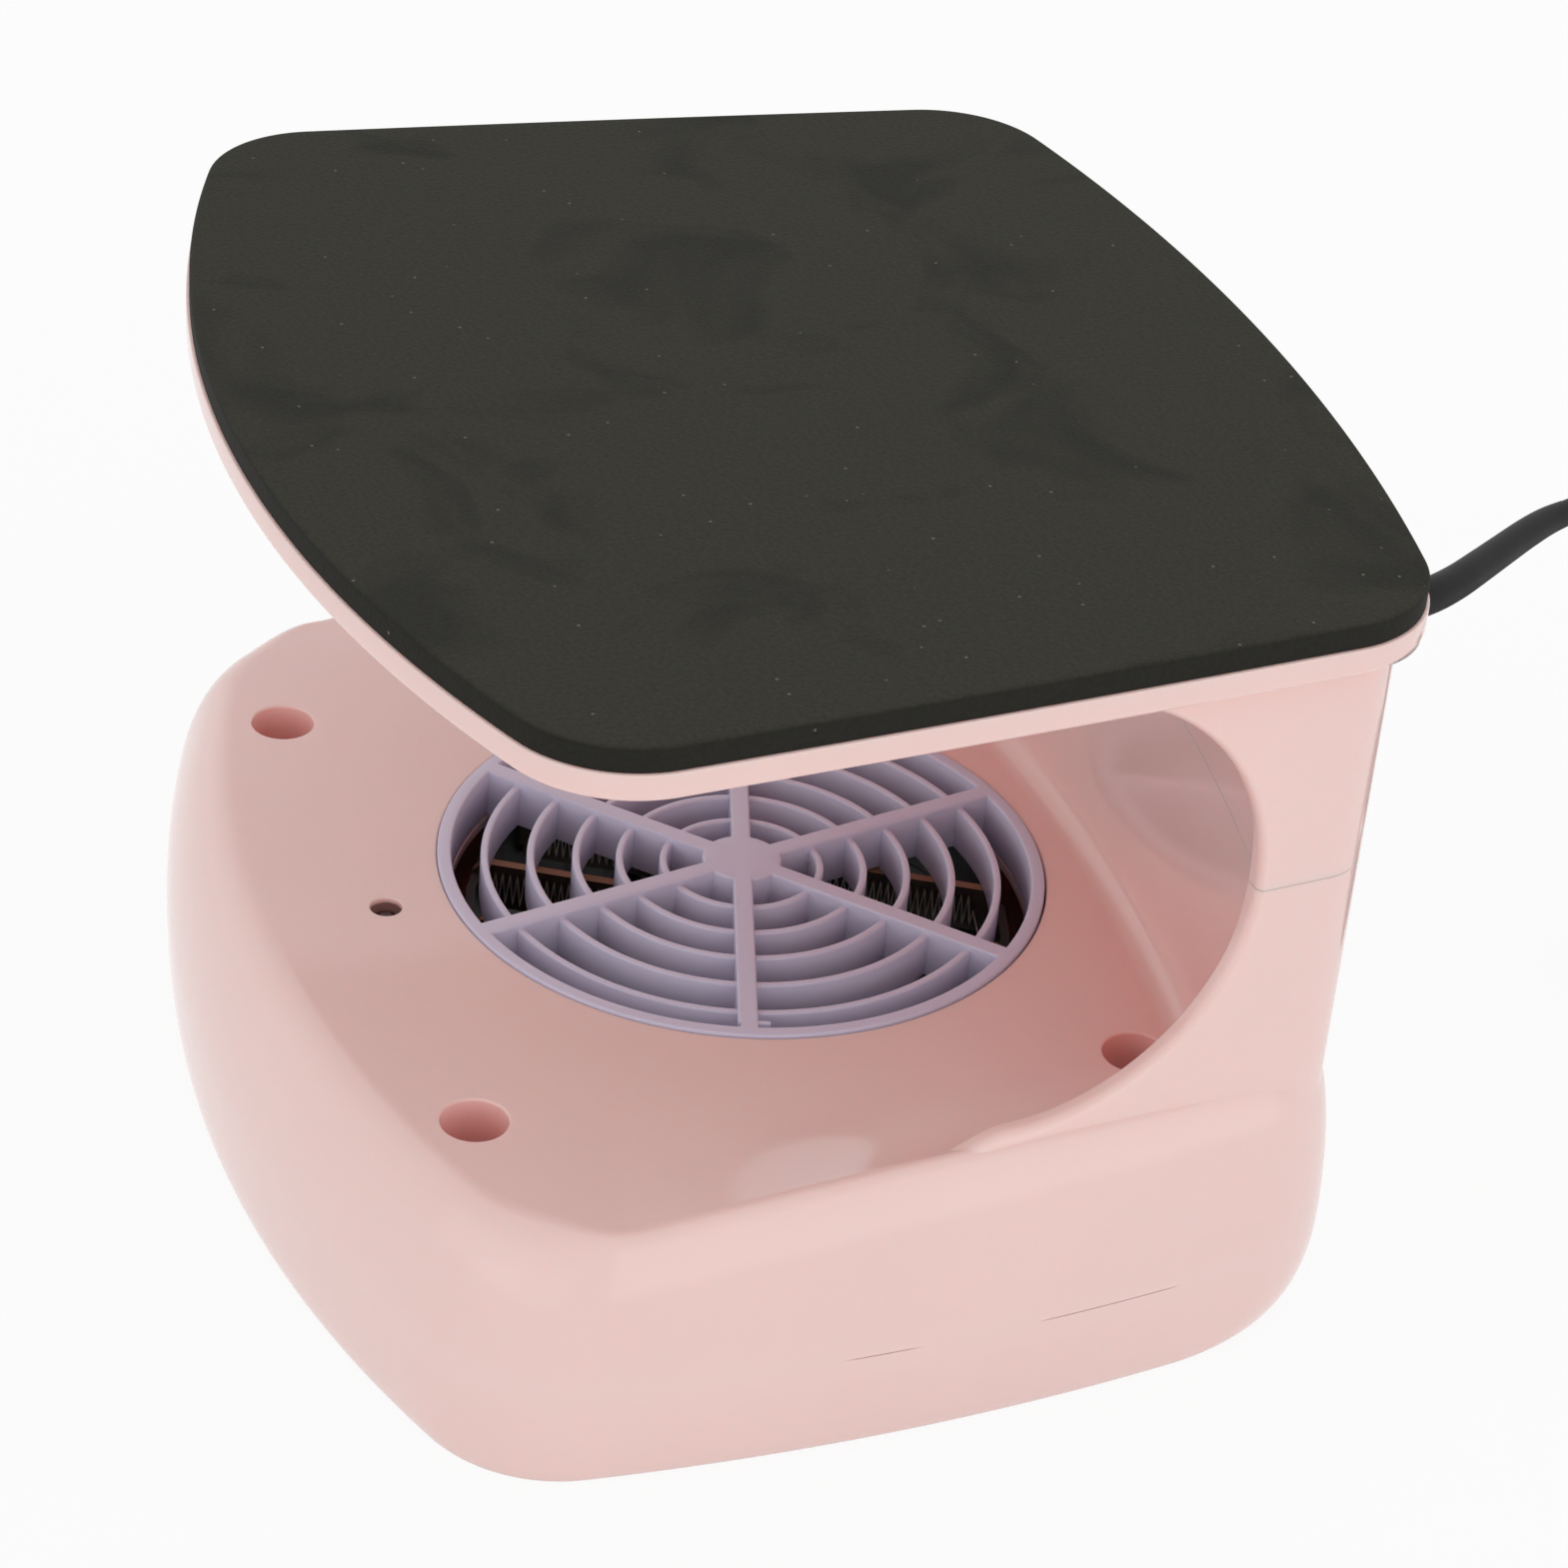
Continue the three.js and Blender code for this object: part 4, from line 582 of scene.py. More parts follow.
def flexible_pvc(name, base):
    """Soft PVC of a mains lead: black, satin, faintly mottled where it has been handled."""
    material, tree, shader, place = new_material(name)
    if tree is None:
        return material
    mottle = add_node(tree, "ShaderNodeTexNoise", {"Vector": place, "Scale": 160.0, "Detail": 3.0})
    mix = add_node(tree, "ShaderNodeMix", {
        "Factor": mottle.outputs["Fac"], 6: shade(base, 0.85), 7: shade(base, 1.2),
    }, data_type="RGBA")
    tree.links.new(mix.outputs[2], shader.inputs["Base Color"])
    rough = add_node(tree, "ShaderNodeMapRange", {
        "Value": mottle.outputs["Fac"], "To Min": 0.42, "To Max": 0.6})
    tree.links.new(rough.outputs[0], shader.inputs["Roughness"])
    shader.inputs["Specular IOR Level"].default_value = 0.25
    fine = add_node(tree, "ShaderNodeTexNoise", {"Vector": place, "Scale": 900.0})
    relief = add_node(tree, "ShaderNodeBump", {
        "Height": fine.outputs["Fac"], "Strength": 0.08, "Distance": 0.0002})
    tree.links.new(relief.outputs[0], shader.inputs["Normal"])
    return material


def plated_steel(name, base, roughness=0.32, grain=600.0):
    """Zinc- or nickel-plated steel: a bright metal with fine marks of handling."""
    material, tree, shader, place = new_material(name)
    if tree is None:
        return material
    marks = add_node(tree, "ShaderNodeTexNoise", {"Vector": place, "Scale": grain, "Detail": 4.0})
    mix = add_node(tree, "ShaderNodeMix", {
        "Factor": marks.outputs["Fac"], 6: shade(base, 0.86), 7: shade(base, 1.08),
    }, data_type="RGBA")
    tree.links.new(mix.outputs[2], shader.inputs["Base Color"])
    shader.inputs["Metallic"].default_value = 1.0
    rough = add_node(tree, "ShaderNodeMapRange", {
        "Value": marks.outputs["Fac"], "To Min": roughness * 0.8, "To Max": roughness * 1.3})
    tree.links.new(rough.outputs[0], shader.inputs["Roughness"])
    relief = add_node(tree, "ShaderNodeBump", {
        "Height": marks.outputs["Fac"], "Strength": 0.1, "Distance": 0.0001})
    tree.links.new(relief.outputs[0], shader.inputs["Normal"])
    return material


def pressed_mica(name, base):
    """Pressed mica board: upward faces keep the mica's pale brown, and the other faces are
    painted almost black as painted shade, in flakes of about two millimetres that are each
    a shade apart."""
    material, tree, shader, place = new_material(name)
    if tree is None:
        return material
    flakes = add_node(tree, "ShaderNodeTexVoronoi", {"Vector": place, "Scale": 500.0})
    # Painted shade: faces that don't look up get five to eleven hundredths of the mica colour, the
    # shade on the strips' sides. Upward faces keep the mica's own colour.
    face = add_node(tree, "ShaderNodeMix", {
        "Factor": flakes.outputs["Color"], 6: shade(base, 0.05), 7: shade(base, 0.11),
    }, data_type="RGBA")
    upright = add_node(tree, "ShaderNodeSeparateXYZ", {
        0: add_node(tree, "ShaderNodeTexCoord").outputs["Normal"]})
    cut = add_node(tree, "ShaderNodeMapRange", {
        "Value": upright.outputs["Z"], "From Min": 0.5, "From Max": 0.9})
    mix = add_node(tree, "ShaderNodeMix", {
        "Factor": cut.outputs[0], 6: face.outputs[2], 7: rgba(base),
    }, data_type="RGBA")
    tree.links.new(mix.outputs[2], shader.inputs["Base Color"])
    shader.inputs["Roughness"].default_value = 0.55
    relief = add_node(tree, "ShaderNodeBump", {
        "Height": flakes.outputs["Distance"], "Strength": 0.3, "Distance": 0.0002})
    tree.links.new(relief.outputs[0], shader.inputs["Normal"])
    return material


def lacquered_board(name, base):
    """Glass-fibre board under solder lacquer: its cloth, about half a millimetre from thread
    to thread, shows through as a faint check."""
    material, tree, shader, place = new_material(name)
    if tree is None:
        return material
    warp = add_node(tree, "ShaderNodeTexWave", {
        "Vector": place, "Scale": 320.0}, bands_direction="X")
    weft = add_node(tree, "ShaderNodeTexWave", {
        "Vector": place, "Scale": 320.0}, bands_direction="Y")
    cloth = add_node(tree, "ShaderNodeMath", {0: warp.outputs["Fac"], 1: weft.outputs["Fac"]},
                     operation="MULTIPLY")
    mix = add_node(tree, "ShaderNodeMix", {
        "Factor": cloth.outputs[0], 6: shade(base, 0.85), 7: shade(base, 1.15),
    }, data_type="RGBA")
    tree.links.new(mix.outputs[2], shader.inputs["Base Color"])
    shader.inputs["Roughness"].default_value = 0.35
    relief = add_node(tree, "ShaderNodeBump", {
        "Height": cloth.outputs[0], "Strength": 0.15, "Distance": 0.0001})
    tree.links.new(relief.outputs[0], shader.inputs["Normal"])
    return material


def finishes(context):
    """The materials of the dryer, by the record's slots."""
    c = context.scene.dryer_colours
    return SimpleNamespace(
        # glow=0.35 sets the shell's subsurface weight and also turns on its painted hollow shade.
        shell=moulded_plastic("pink_moulded_abs", c.shell, 0.1, glow=0.35),
        grille=moulded_plastic("lilac_moulded_abs", c.grille, 0.33, bump=0.03),
        foam=closed_cell_foam("black_eva_foam", c.foam),
        cord=flexible_pvc("black_flexible_pvc", c.cord),
        dark=moulded_plastic("black_moulded_abs", c.dark, 0.5, 900.0, 0.12, 0.15),
        rotor=moulded_plastic("black_glass_filled_nylon", c.rotor, 0.45, 900.0, 0.08, 0.1),
        # Painted shade: the heater ring gets six hundredths of the mica colour, as dark as the shade
        # deep under the grille.
        ring=pressed_mica("mica_ring_painted_dark", shade(c.mica, 0.06)),
        relay=moulded_plastic("blue_relay_case", linear("#2A4F8F"), 0.4, 900.0, 0.08),
        sleeve=moulded_plastic("printed_capacitor_sleeve", linear("#2B2B30"), 0.3, 900.0, 0.05),
        sensor=moulded_plastic("dark_sensor_epoxy", linear("#2E0F0D"), 0.3, 900.0, 0.01),
        screw=plated_steel("zinc_plated_steel", linear("#B8BBBF")),
        motor=plated_steel("nickel_plated_can", linear("#ADAFB1"), 0.25, 300.0),
        wire=plated_steel("dull_heating_wire", linear("#D8D4CC"), 0.5),
        nickel=plated_steel("nickel_plated_brass", linear("#CBC9C4"), 0.2),
        mica=pressed_mica("pressed_mica_board", c.mica),
        board=lacquered_board("green_lacquered_board", c.board),
    )


# The dryer's own forms


def crest_height(y, s):
    """Side crest above the outlet face: level towards the back, and from its highest point
    forward it falls along a large arc until it has gone."""
    ahead = np.maximum(CREST_TOP_Y - y, 0)
    return np.maximum(s.crest_rise - ahead ** 2 / (2 * CREST_RADIUS), 0)


def crest_place(y):
    """How far in from the widest line the crest lies: smoothly wider towards the brow."""
    t = np.clip((-y + CREST_START_Y) / (CREST_START_Y - BROW_START_Y), 0, 1)
    return CREST_INSET + (BROW_INSET - CREST_INSET) * t * t * (3 - 2 * t)


def face_rise(x, y, s):
    """Outlet face above its level middle: a parabola of the way from the dish's start up to
    the side crest."""
    share = np.clip((np.abs(x) - (HOUSING["side"] - CREST_INSET - DISH_WIDTH)) / DISH_WIDTH, 0, 1)
    return crest_height(y, s) * share ** 2


def seam_opening(plan):
    """Half the opening between the two housing shells round the plan: they close tight but
    for two stretches of the right side, where it swells by smooth steps."""
    y = plan[:, 1]
    opening = np.zeros(len(plan))
    for start, end in SEAM_STRETCHES:
        t = np.clip(np.minimum(y - start, end - y) / 2.5, 0, 1)
        opening = np.maximum(opening, t * t * (3 - 2 * t))
    return np.where(plan[:, 0] > 0, SEAM_TIGHT + (SEAM_OPEN - SEAM_TIGHT) * opening, SEAM_TIGHT)


def upper_skin(s, gap, base, side_steps, shares, steps):
    """Upper housing as rings: up the bulging side as a quarter ellipse from the widest line
    to the crest, then in over the face by shares of the crest's ring. Without a base it
    starts at the seam."""
    plan = outline(HOUSING, steps)
    if base is None:
        base = GIRTH + seam_opening(plan)
    x, y = plan[:, 0], plan[:, 1]
    turn = np.linspace(0, pi / 2, side_steps + 1)[1:, None]
    inset = crest_place(y) * (1 - np.cos(turn)) + gap
    crest = crest_height(y, s)
    if gap:
        crest = np.minimum(crest, face_rise(x - plan[:, 2] * inset[-1], y, s))
    rise = s.face_height + crest - gap - GIRTH
    z =np.maximum(GIRTH + rise * np.sin(turn), base + 0.01)
    side = np.stack([x - plan[:, 2] * inset, y - plan[:, 3] * inset, z], -1)
    shares = np.asarray(shares)[:, None]
    fx, fy = side[-1, :, 0] * shares, side[-1, :, 1] * shares
    face = np.stack([fx, fy, s.face_height + face_rise(fx, fy, s) - gap], -1)
    return loft(np.concatenate([[ring(plan, gap, base)], side, face]))


def column_block(low, high, flare, steps=(20, 12, 40, 20, 60), rows=12):
    """Column as a full block whose top curls out by a quarter circle under the plate."""
    plan = outline(COLUMN, steps)
    levels = np.linspace(low, high - flare, 7)
    rings = [ring(plan, 0, z) for z in (levels[:-1] if flare else levels)]
    if flare:
        turn = np.linspace(0, pi / 2, rows)
        rings += [ring(plan, -flare * (1 - cos(t)), high - flare + flare * sin(t)) for t in turn]
    return loft(rings)


def cheek_slot(s):
    """Round slot through both cheeks: a half circle behind, open to the front, whose rim
    grows by a quarter circle towards the outside so that the cheek's edge is round."""
    radius = (s.mouth_height - s.sill_height) / 2
    centre_y, centre_z = CHEEK_DEPTH - radius, s.face_height + s.sill_height + radius
    lean = tan(radians(COLUMN["side_angle"]))
    front = -PAD["front"] - OVERRUN
    turn = np.linspace(-pi / 2, pi / 2, 97)
    run = np.linspace(0, 1, 17)
    slide = run[:-1] ** 2 * (3 - 2 * run[:-1])
    fall = s.sill_height - s.sill_height / 2

    def station(out, grow):
        reach = radius + grow
        arc = np.column_stack([centre_y + reach * np.cos(turn), centre_z + reach * np.sin(turn)])
        foot = s.face_height - WALL * 2
        ahead = np.column_stack([
            centre_y - CHEEK_RUN * 1.4 * (1 - run[:-1]),
            s.face_height + s.sill_height - grow - fall * (1 - slide)])
        loop = np.vstack([arc, [front, centre_z + reach], [front, foot],
                          [centre_y - CHEEK_RUN * 1.4, foot], ahead])
        return np.column_stack([COLUMN["side"] - loop[:, 0] * lean + out, loop[:, 0],
                                np.minimum(loop[:, 1], s.plate_low)])

    rounding = np.linspace(0, pi / 2, 9)[1:]
    stations = [station(-OVERRUN, 0), station(-CHEEK_EDGE, 0)]
    stations += [station(CHEEK_EDGE * (sin(t) - 1), CHEEK_EDGE * (1 - cos(t))) for t in rounding]
    stations.append(station(OVERRUN, CHEEK_EDGE))
    right = loft(stations)
    return right, mirrored(right)


def mouth_room(s):
    """Room between the cheeks: the plan outline, drawn in at the floor by a quarter circle
    that makes the soft foot of the back wall."""
    plan = outline(MOUTH, (24, 10, 24, 16, 50))
    turn = np.linspace(0, pi / 2, 13)
    rings = [ring(plan, s.foot_fillet * (1 - sin(t)),
                  s.face_height + s.foot_fillet * (1 - cos(t))) for t in turn]
    levels = np.linspace(s.face_height + s.foot_fillet, s.plate_low, 9)[1:]
    return loft([*rings, *[ring(plan, 0, z) for z in levels]])


def column_screw_place(side):
    rear = COLUMN["rear"] - COLUMN_SCREW_X ** 2 / (2 * COLUMN["rear_radius"])
    front = MOUTH["rear"] - COLUMN_SCREW_X ** 2 / (2 * MOUTH["rear_radius"])
    return side * COLUMN_SCREW_X, (rear + front) / 2


def column_hollow(low, high):
    """The column's hollow: the column's plan a wall in, less all that lies ahead of the back
    wall's rear side."""
    plan = outline(COLUMN, (20, 8, 20, 12, 40))
    ahead = prism(MOUTH, -WALL, low - OVERRUN, high + OVERRUN)
    block = loft([ring(plan, WALL, low), ring(plan, WALL, high)])
    return carved_skin("hollow_part", block, [("DIFFERENCE", ahead)])


def boss_steps(low, high, radius):
    """Screw bosses of the column, each with its rib, as steps that add them."""
    steps = []
    for side in (-1, 1):
        x, y = column_screw_place(side)
        steps.append(("UNION", rod(x, y, low, high, radius)))
        steps.append(("UNION", box(x, y, low, high, WALL / 2, 70.2 - 53.5 - WALL)))
    return steps


def flared_cut(x, y, low, top, radius, edge, sides=64):
    """A round cut from low to just above top whose rim opens by a small quarter circle."""
    turn = np.linspace(0, radians(70), 5)
    lip = [[radius + edge * (1 - cos(t)), top - edge + edge * sin(t)] for t in turn]
    last = lip[-1]
    high = top + 2 * FIT
    wide = [last[0] + (high - last[1]) * 1.6, high]
    return revolved([[0, low], [radius, low], *lip, wide, [0, high]], sides, (x, y))


def gland_bar(s, radius, low, high, sides=32):
    """A round bar square to the rear wall where the lead leaves, from low to high behind it."""
    level = turned(rod(0, 0, low, high, radius, sides), -90, 0)
    turn = degrees(asin(GLAND_X / COLUMN["rear_radius"]))
    return moved(turned(level, -turn), s.gland)


def screw_skin(x, y, seat, length):
    """Pan-head screw pointing down: shank, flat seat and a domed head."""
    turn = np.linspace(0, pi / 2, 7)
    dome = [[2.2 + 0.9 * cos(t), seat + 1.2 + 1.0 * sin(t)] for t in turn]
    profile = [[0, seat - length], [0.35, seat - length], [1.5, seat - length + 1.7],
               [1.5, seat], [3.1, seat], *dome, [0, seat + 2.2]]
    return revolved(profile, 40, (x, y))


def cross_recess(x, y, top):
    """The cross in a screw's head: two short bars that sink 1.2 mm."""
    first = box(x, y, top - 1.2, top + OVERRUN, 3.6, 0.8)
    second = box(x, y, top - 1.2, top + OVERRUN, 0.8, 3.6)
    return [("DIFFERENCE", first), ("DIFFERENCE", second)]


def lead_line(points, samples):
    """Centripetal Catmull-Rom curve through the points, evenly spaced: each span blends four
    neighbours by the square roots of their distances."""
    ends = [2 * points[0] - points[1], *points, 2 * points[-1] - points[-2]]
    p = np.array(ends)
    knots = np.sqrt(np.linalg.norm(np.diff(p, axis=0), axis=1))
    t = np.linspace(0, 1, 24, endpoint=False)[None, :, None]
    p0, p1, p2, p3 = (p[k:len(p) - 3 + k, None] for k in range(4))
    d0, d1, d2 = (knots[k:len(knots) - 2 + k, None, None] for k in range(3))
    m1 = ((p1 - p0) / d0 - (p2 - p0) / (d0 + d1) + (p2 - p1) / d1) * d1
    m2 = ((p2 - p1) / d1 - (p3 - p1) / (d1 + d2) + (p3 - p2) / d2) * d1
    fine = (2 * t ** 3 - 3 * t ** 2 + 1) * p1 + (t ** 3 - 2 * t ** 2 + t) * m1 \
        + (-2 * t ** 3 + 3 * t ** 2) * p2 + (t ** 3 - t ** 2) * m2
    fine = np.vstack([fine.reshape(-1, 3), points[-1]])
    run = np.concatenate([[0], np.cumsum(np.linalg.norm(np.diff(fine, axis=0), axis=1))])
    even = np.linspace(0, run[-1], samples)
    return np.column_stack([np.interp(even, run, fine[:, k]) for k in range(3)])


def coil_line(start, heading, radius):
    """Middle of the coiled lead: four layers that spiral in and out by turns, clockwise from
    the top layer down, with a sine step from layer to layer where the spiral reverses."""
    middle, layers, turns, pitch = 21.0, 4, 2.25, 4.3
    spread = turns * pitch / 2
    first = atan2(heading[0], -heading[1])
    side = np.array([cos(first), sin(first), 0])
    centre = start + heading * radius * 2 - (middle + spread) * side
    wound = np.linspace(0, layers * turns, 325)
    layer = np.minimum(np.floor(wound / turns), layers - 1)
    within = wound / turns - layer
    inward = np.where(layer % 2 == 0, within, 1 - within)
    reach = middle + spread * (1 - 2 * inward)
    reversal = np.round(wound / turns)
    off = (wound - reversal * turns) * 4
    step = (reversal > 0) & (reversal < layers) & (np.abs(off) < 1)
    level = np.where(step, reversal - 0.5 + np.sin(off * pi / 2) / 2, layer)
    angle = first - wound * 2 * pi
    return np.column_stack([centre[0] + reach * np.cos(angle), centre[1] + reach * np.sin(angle),
                            radius + (layers - 1 - level) * pitch])


def lead_parts(s):
    """The lead's route: where it leaves, its free part, its coil, its tail and its heading."""
    points = s.gland + LEAD_ROUTE
    heading = (points[-1] - points[-2]) * [1, 1, 0]
    heading /= np.linalg.norm(heading)
    free = lead_line(points, 170)
    coil = coil_line(points[-1] + heading * FIT, heading, s.cord_radius)
    share = np.linspace(0.2, 1, 12)[:, None]
    lift = np.clip((share - 0.2) / 0.65, 0, 1)
    lift = lift * lift * (3 - 2 * lift)
    tail = coil[-1] * [1, 1, 0] + heading * 22 * share \
        + [0, 0, 1] * (s.cord_radius + (6.8 - s.cord_radius) * lift)
    return free, coil, tail, heading


def grille_skin(radius, rim, hub, ring_width, shares, spoke, turn, low, high, drop, edge):
    """Round grille: a rim, rings and a hub turned about the axis, each with rounded edges,
    and three bars across it that make six spokes."""
    def band(inner, outer, top):
        loop = rounded_loop(outer - inner, top - low, min(edge, (outer - inner) * 0.45), 4)
        return revolved(loop + [(inner + outer) / 2, (low + top) / 2], 144)

    rings = [band(share * radius - ring_width / 2, share * radius + ring_width / 2, high - drop)
             for share in shares]
    base = band(radius - rim, radius, high)
    bars = [turned(bar(-radius + rim / 2, radius - rim / 2, spoke, low, high, edge), turn + k * 60)
            for k in range(3)]
    lip = np.linspace(0, pi / 2, 5)
    crown = [[hub - edge + edge * cos(t), high - edge + edge * sin(t)] for t in lip]
    middle = revolved([[0, low], [hub, low], *crown, [0, high]], 72)
    steps = [("UNION", joined(*rings)), *[("UNION", item) for item in bars], ("UNION", middle)]
    return base, steps


# Operators


class DRYER_OT_camera(bpy.types.Operator):
    """Sets the camera where the reference was taken from"""

    bl_idname = "dryer.camera"
    bl_label = "Camera"

    def execute(self, context):
        right = Vector((0.33610924, 0.93870576, 0.07656422))
        up = Vector((-0.52535377, 0.11939151, 0.84246607))
        back = Vector((0.78168664, -0.32338394, 0.53328119))
        data = bpy.data.cameras.new("view")
        data.sensor_fit = "HORIZONTAL"
        data.sensor_width = 36
        data.lens = 101.98
        camera = bpy.data.objects.new("view", data)
        context.scene.collection.objects.link(camera)
        turn = Matrix((right, up, back)).transposed().to_4x4()
        camera.matrix_world = Matrix.Translation((0.52119, -0.205745, 0.40828)) @ turn
        context.scene.camera = camera
        return {"FINISHED"}


class DRYER_OT_lead(bpy.types.Operator):
    """Makes the strain relief, the mains lead with its coil, and the plug with its pins"""

    bl_idname = "dryer.lead"
    bl_label = "Mains lead"

    def execute(self, context):
        s, look = read_sizes(context), finishes(context)
        free, coil, tail, heading = lead_parts(s)
        line = np.vstack([free, coil, tail])
        tip = np.array([line[-1] + heading * 3])
        cord = plain("mains_lead", swept(np.vstack([line, tip]), s.cord_radius, 18), 60)
        dress(cord, look.cord, "cord_rubber", "dryer", "power_cord", "cord_coil")
        relief = self.relief(s, free)
        dress(relief, look.cord, "cord_rubber", "dryer", "strain_relief")
        plug, pins = self.plug(s, coil[-1] + heading * 22, heading)
        dress(plug, look.cord, "cord_rubber", "dryer", "plug_body")
        for k, pin in enumerate(pins):
            dress(pin, look.nickel, "plated_metal", "dryer", f"plug_pin_{k + 1}")
        return {"FINISHED"}

    def relief(self, s, free):
        """Flange and neck in the wall, and a boot along the lead whose radius falls with the
        square root of the way, eased at its tip."""
        run = np.concatenate([[0], np.cumsum(np.linalg.norm(np.diff(free, axis=0), axis=1))])
        even = np.linspace(1.0, 54.0, 60)
        path = np.column_stack([np.interp(even, run, free[:, k]) for k in range(3)])
        share = np.linspace(0, 1, 60)
        tip = np.clip((share - 0.8) / 0.2, 0, 1)
        radii = 3.4 + (2.15 - 3.4) * np.sqrt(share) - 0.2 * tip ** 2
        boot = swept(path, radii, 32)
        turn = np.linspace(0, pi / 2, 6)
        rim = [[4.6 + 0.8 * cos(t), 1.5 + 0.8 * sin(t)] for t in turn]
        flange = revolved([[0, FIT], [5.4, FIT], *rim, [0, 2.3]], 48)
        flange = moved(turned(turned(flange, -90, 0), -degrees(asin(GLAND_X / 337))), s.gland)
        neck = gland_bar(s, 3.9, -WALL * 2, 1.3)
        latch = gland_bar(s, 4.4, -WALL * 2, -WALL - FIT)
        return carved("strain_relief_boot", flange, [
            ("UNION", neck), ("UNION", latch), ("UNION", boot)], 32)

    def plug(self, s, place, heading):
        """Flat plug: rings along its length whose half width swells from the neck by a
        smooth step, with the section of a rounded rectangle; the pins end in a cone."""
        angle = degrees(atan2(heading[1], heading[0]))
        x = np.concatenate([[FIT, 0.6, 1.2], np.linspace(2, 32.8, 40), [33.5, 33.95, 34.2]])
        t = np.clip(x / 20.4, 0, 1)
        half = 4 + 13.5 * t * t * (3 - 2 * t)
        ease = np.zeros(len(x))
        ease[:3], ease[-3:] = [1.2, 0.5, 0.1], [0.15, 0.6, 1.3]
        rings = []
        for at, reach, cut in zip(x, half, ease):
            loop = rounded_loop(2 * (reach - cut), 2 * (6.8 - cut), min(3.2, (6.8 - cut) * 0.6), 8)
            rings.append(np.column_stack([np.full(len(loop), at), loop]))
        where = [place[0], place[1], 6.8]
        body = plain("plug_moulding", moved(turned(loft(rings), angle), where), 40)
        pins = []
        for k, side in enumerate((1, -1)):
            turn = np.linspace(0, pi / 2, 6)
            nose = [[0.9 + 1.1 * cos(t), 18.0 + 1.0 * sin(t)] for t in turn]
            pin = turned(revolved([[0, 0], [2, 0], *nose, [0, 19.0]], 32), 90, 1)
            pin = moved(pin, [34 + 2 * FIT, side * 9.3, 0])
            pins.append(plain(f"plug_pin_round_{k + 1}", moved(turned(pin, angle), where), 40))
        return body, pins


class DRYER_OT_face_shell(bpy.types.Operator):
    """Makes the outlet face, the upper housing and the lower column in one moulding"""

    bl_idname = "dryer.face_shell"
    bl_label = "Face shell"

    def execute(self, context):
        s, look = read_sizes(context), finishes(context)
        fine = (40, 36, 64, 30, 40)
        shares = np.concatenate([[0.9965], 1 - 0.4 * np.linspace(0.02, 1, 44)])
        skin = upper_skin(s, 0, None, 36, shares, fine)
        cavity = upper_skin(s, WALL, GIRTH - OVERRUN, 8, [0.9, 0.78], (16, 10, 20, 8, 16))
        right, left = cheek_slot(s)
        column = column_block(s.face_height - WALL, s.seam - COLUMN_SEAM, 0)
        grown = carved_skin("column_part", column, [
            ("DIFFERENCE", right), ("DIFFERENCE", left), ("DIFFERENCE", mouth_room(s))])

        bore = s.grille_radius + GRILLE_GAP
        low = s.ledge - 1.5
        hollow = column_hollow(GIRTH, s.seam + OVERRUN)
        wide = [revolved([[bore, low], [bore + WALL, low], [bore + WALL, s.face_height - WALL / 2],
                          [bore, s.face_height - WALL / 2]], 144),
                revolved([[bore - 2.2, low], [bore + WALL / 2, low], [bore + WALL / 2, s.ledge],
                          [bore - 2.2, s.ledge]], 144)]
        steps = [
            ("UNION", grown), ("DIFFERENCE", cavity), ("DIFFERENCE", hollow),
            ("DIFFERENCE", flared_cut(0, 0, s.ledge, s.face_height, bore, s.edge, 144)),
            ("UNION", wide[0]), ("UNION", wide[1]),
        ]
        cups = joined(*[rod(x, y, s.well_floor - WALL, s.face_height - WALL / 2,
                            s.well_radius + 2) for x, y in WELLS])
        wells = joined(*[flared_cut(x, y, s.well_floor, s.face_height + face_rise(x, y, s),
                                    s.well_radius, s.edge) for x, y in WELLS])
        holes = joined(*[rod(x, y, s.well_floor - OVERRUN, s.well_floor + FIT, 1.9)
                         for x, y in WELLS])
        steps += [("UNION", cups), ("DIFFERENCE", wells), ("DIFFERENCE", holes)]
        board_low = s.face_height - WALL - 8 - 1.6
        board_high = board_low + 1.6
        steps += [
            ("UNION", rod(0, SENSOR_Y, board_high + 2 * FIT, s.face_height - WALL / 2, 4.5)),
            ("DIFFERENCE", flared_cut(0, SENSOR_Y, board_low, s.face_height, 2.35, s.edge * 0.7)),
            ("DIFFERENCE", rod(0, SENSOR_Y, board_low, s.face_height - SENSOR_LIP, 3.9)),
        ]
        for side in (-1, 1):
            steps += [
                ("UNION", rod(side * 30, SENSOR_Y, board_high + FIT, s.face_height - 1.2, 3)),
                ("DIFFERENCE", rod(side * 30, SENSOR_Y, board_low, board_low + 7, 1.8)),
            ]
        steps += boss_steps(s.face_height, s.seam - FIT / 2, 3.9)
        for side in (-1, 1):
            x, y = column_screw_place(side)
            steps.append(("DIFFERENCE", rod(x, y, s.seam - 27.8, s.seam + OVERRUN, 1.8)))
        shell = carved("face_shell_moulding", skin, steps)
        dress(shell, look.shell, "pink_plastic", "dryer", "face_shell")
        return {"FINISHED"}


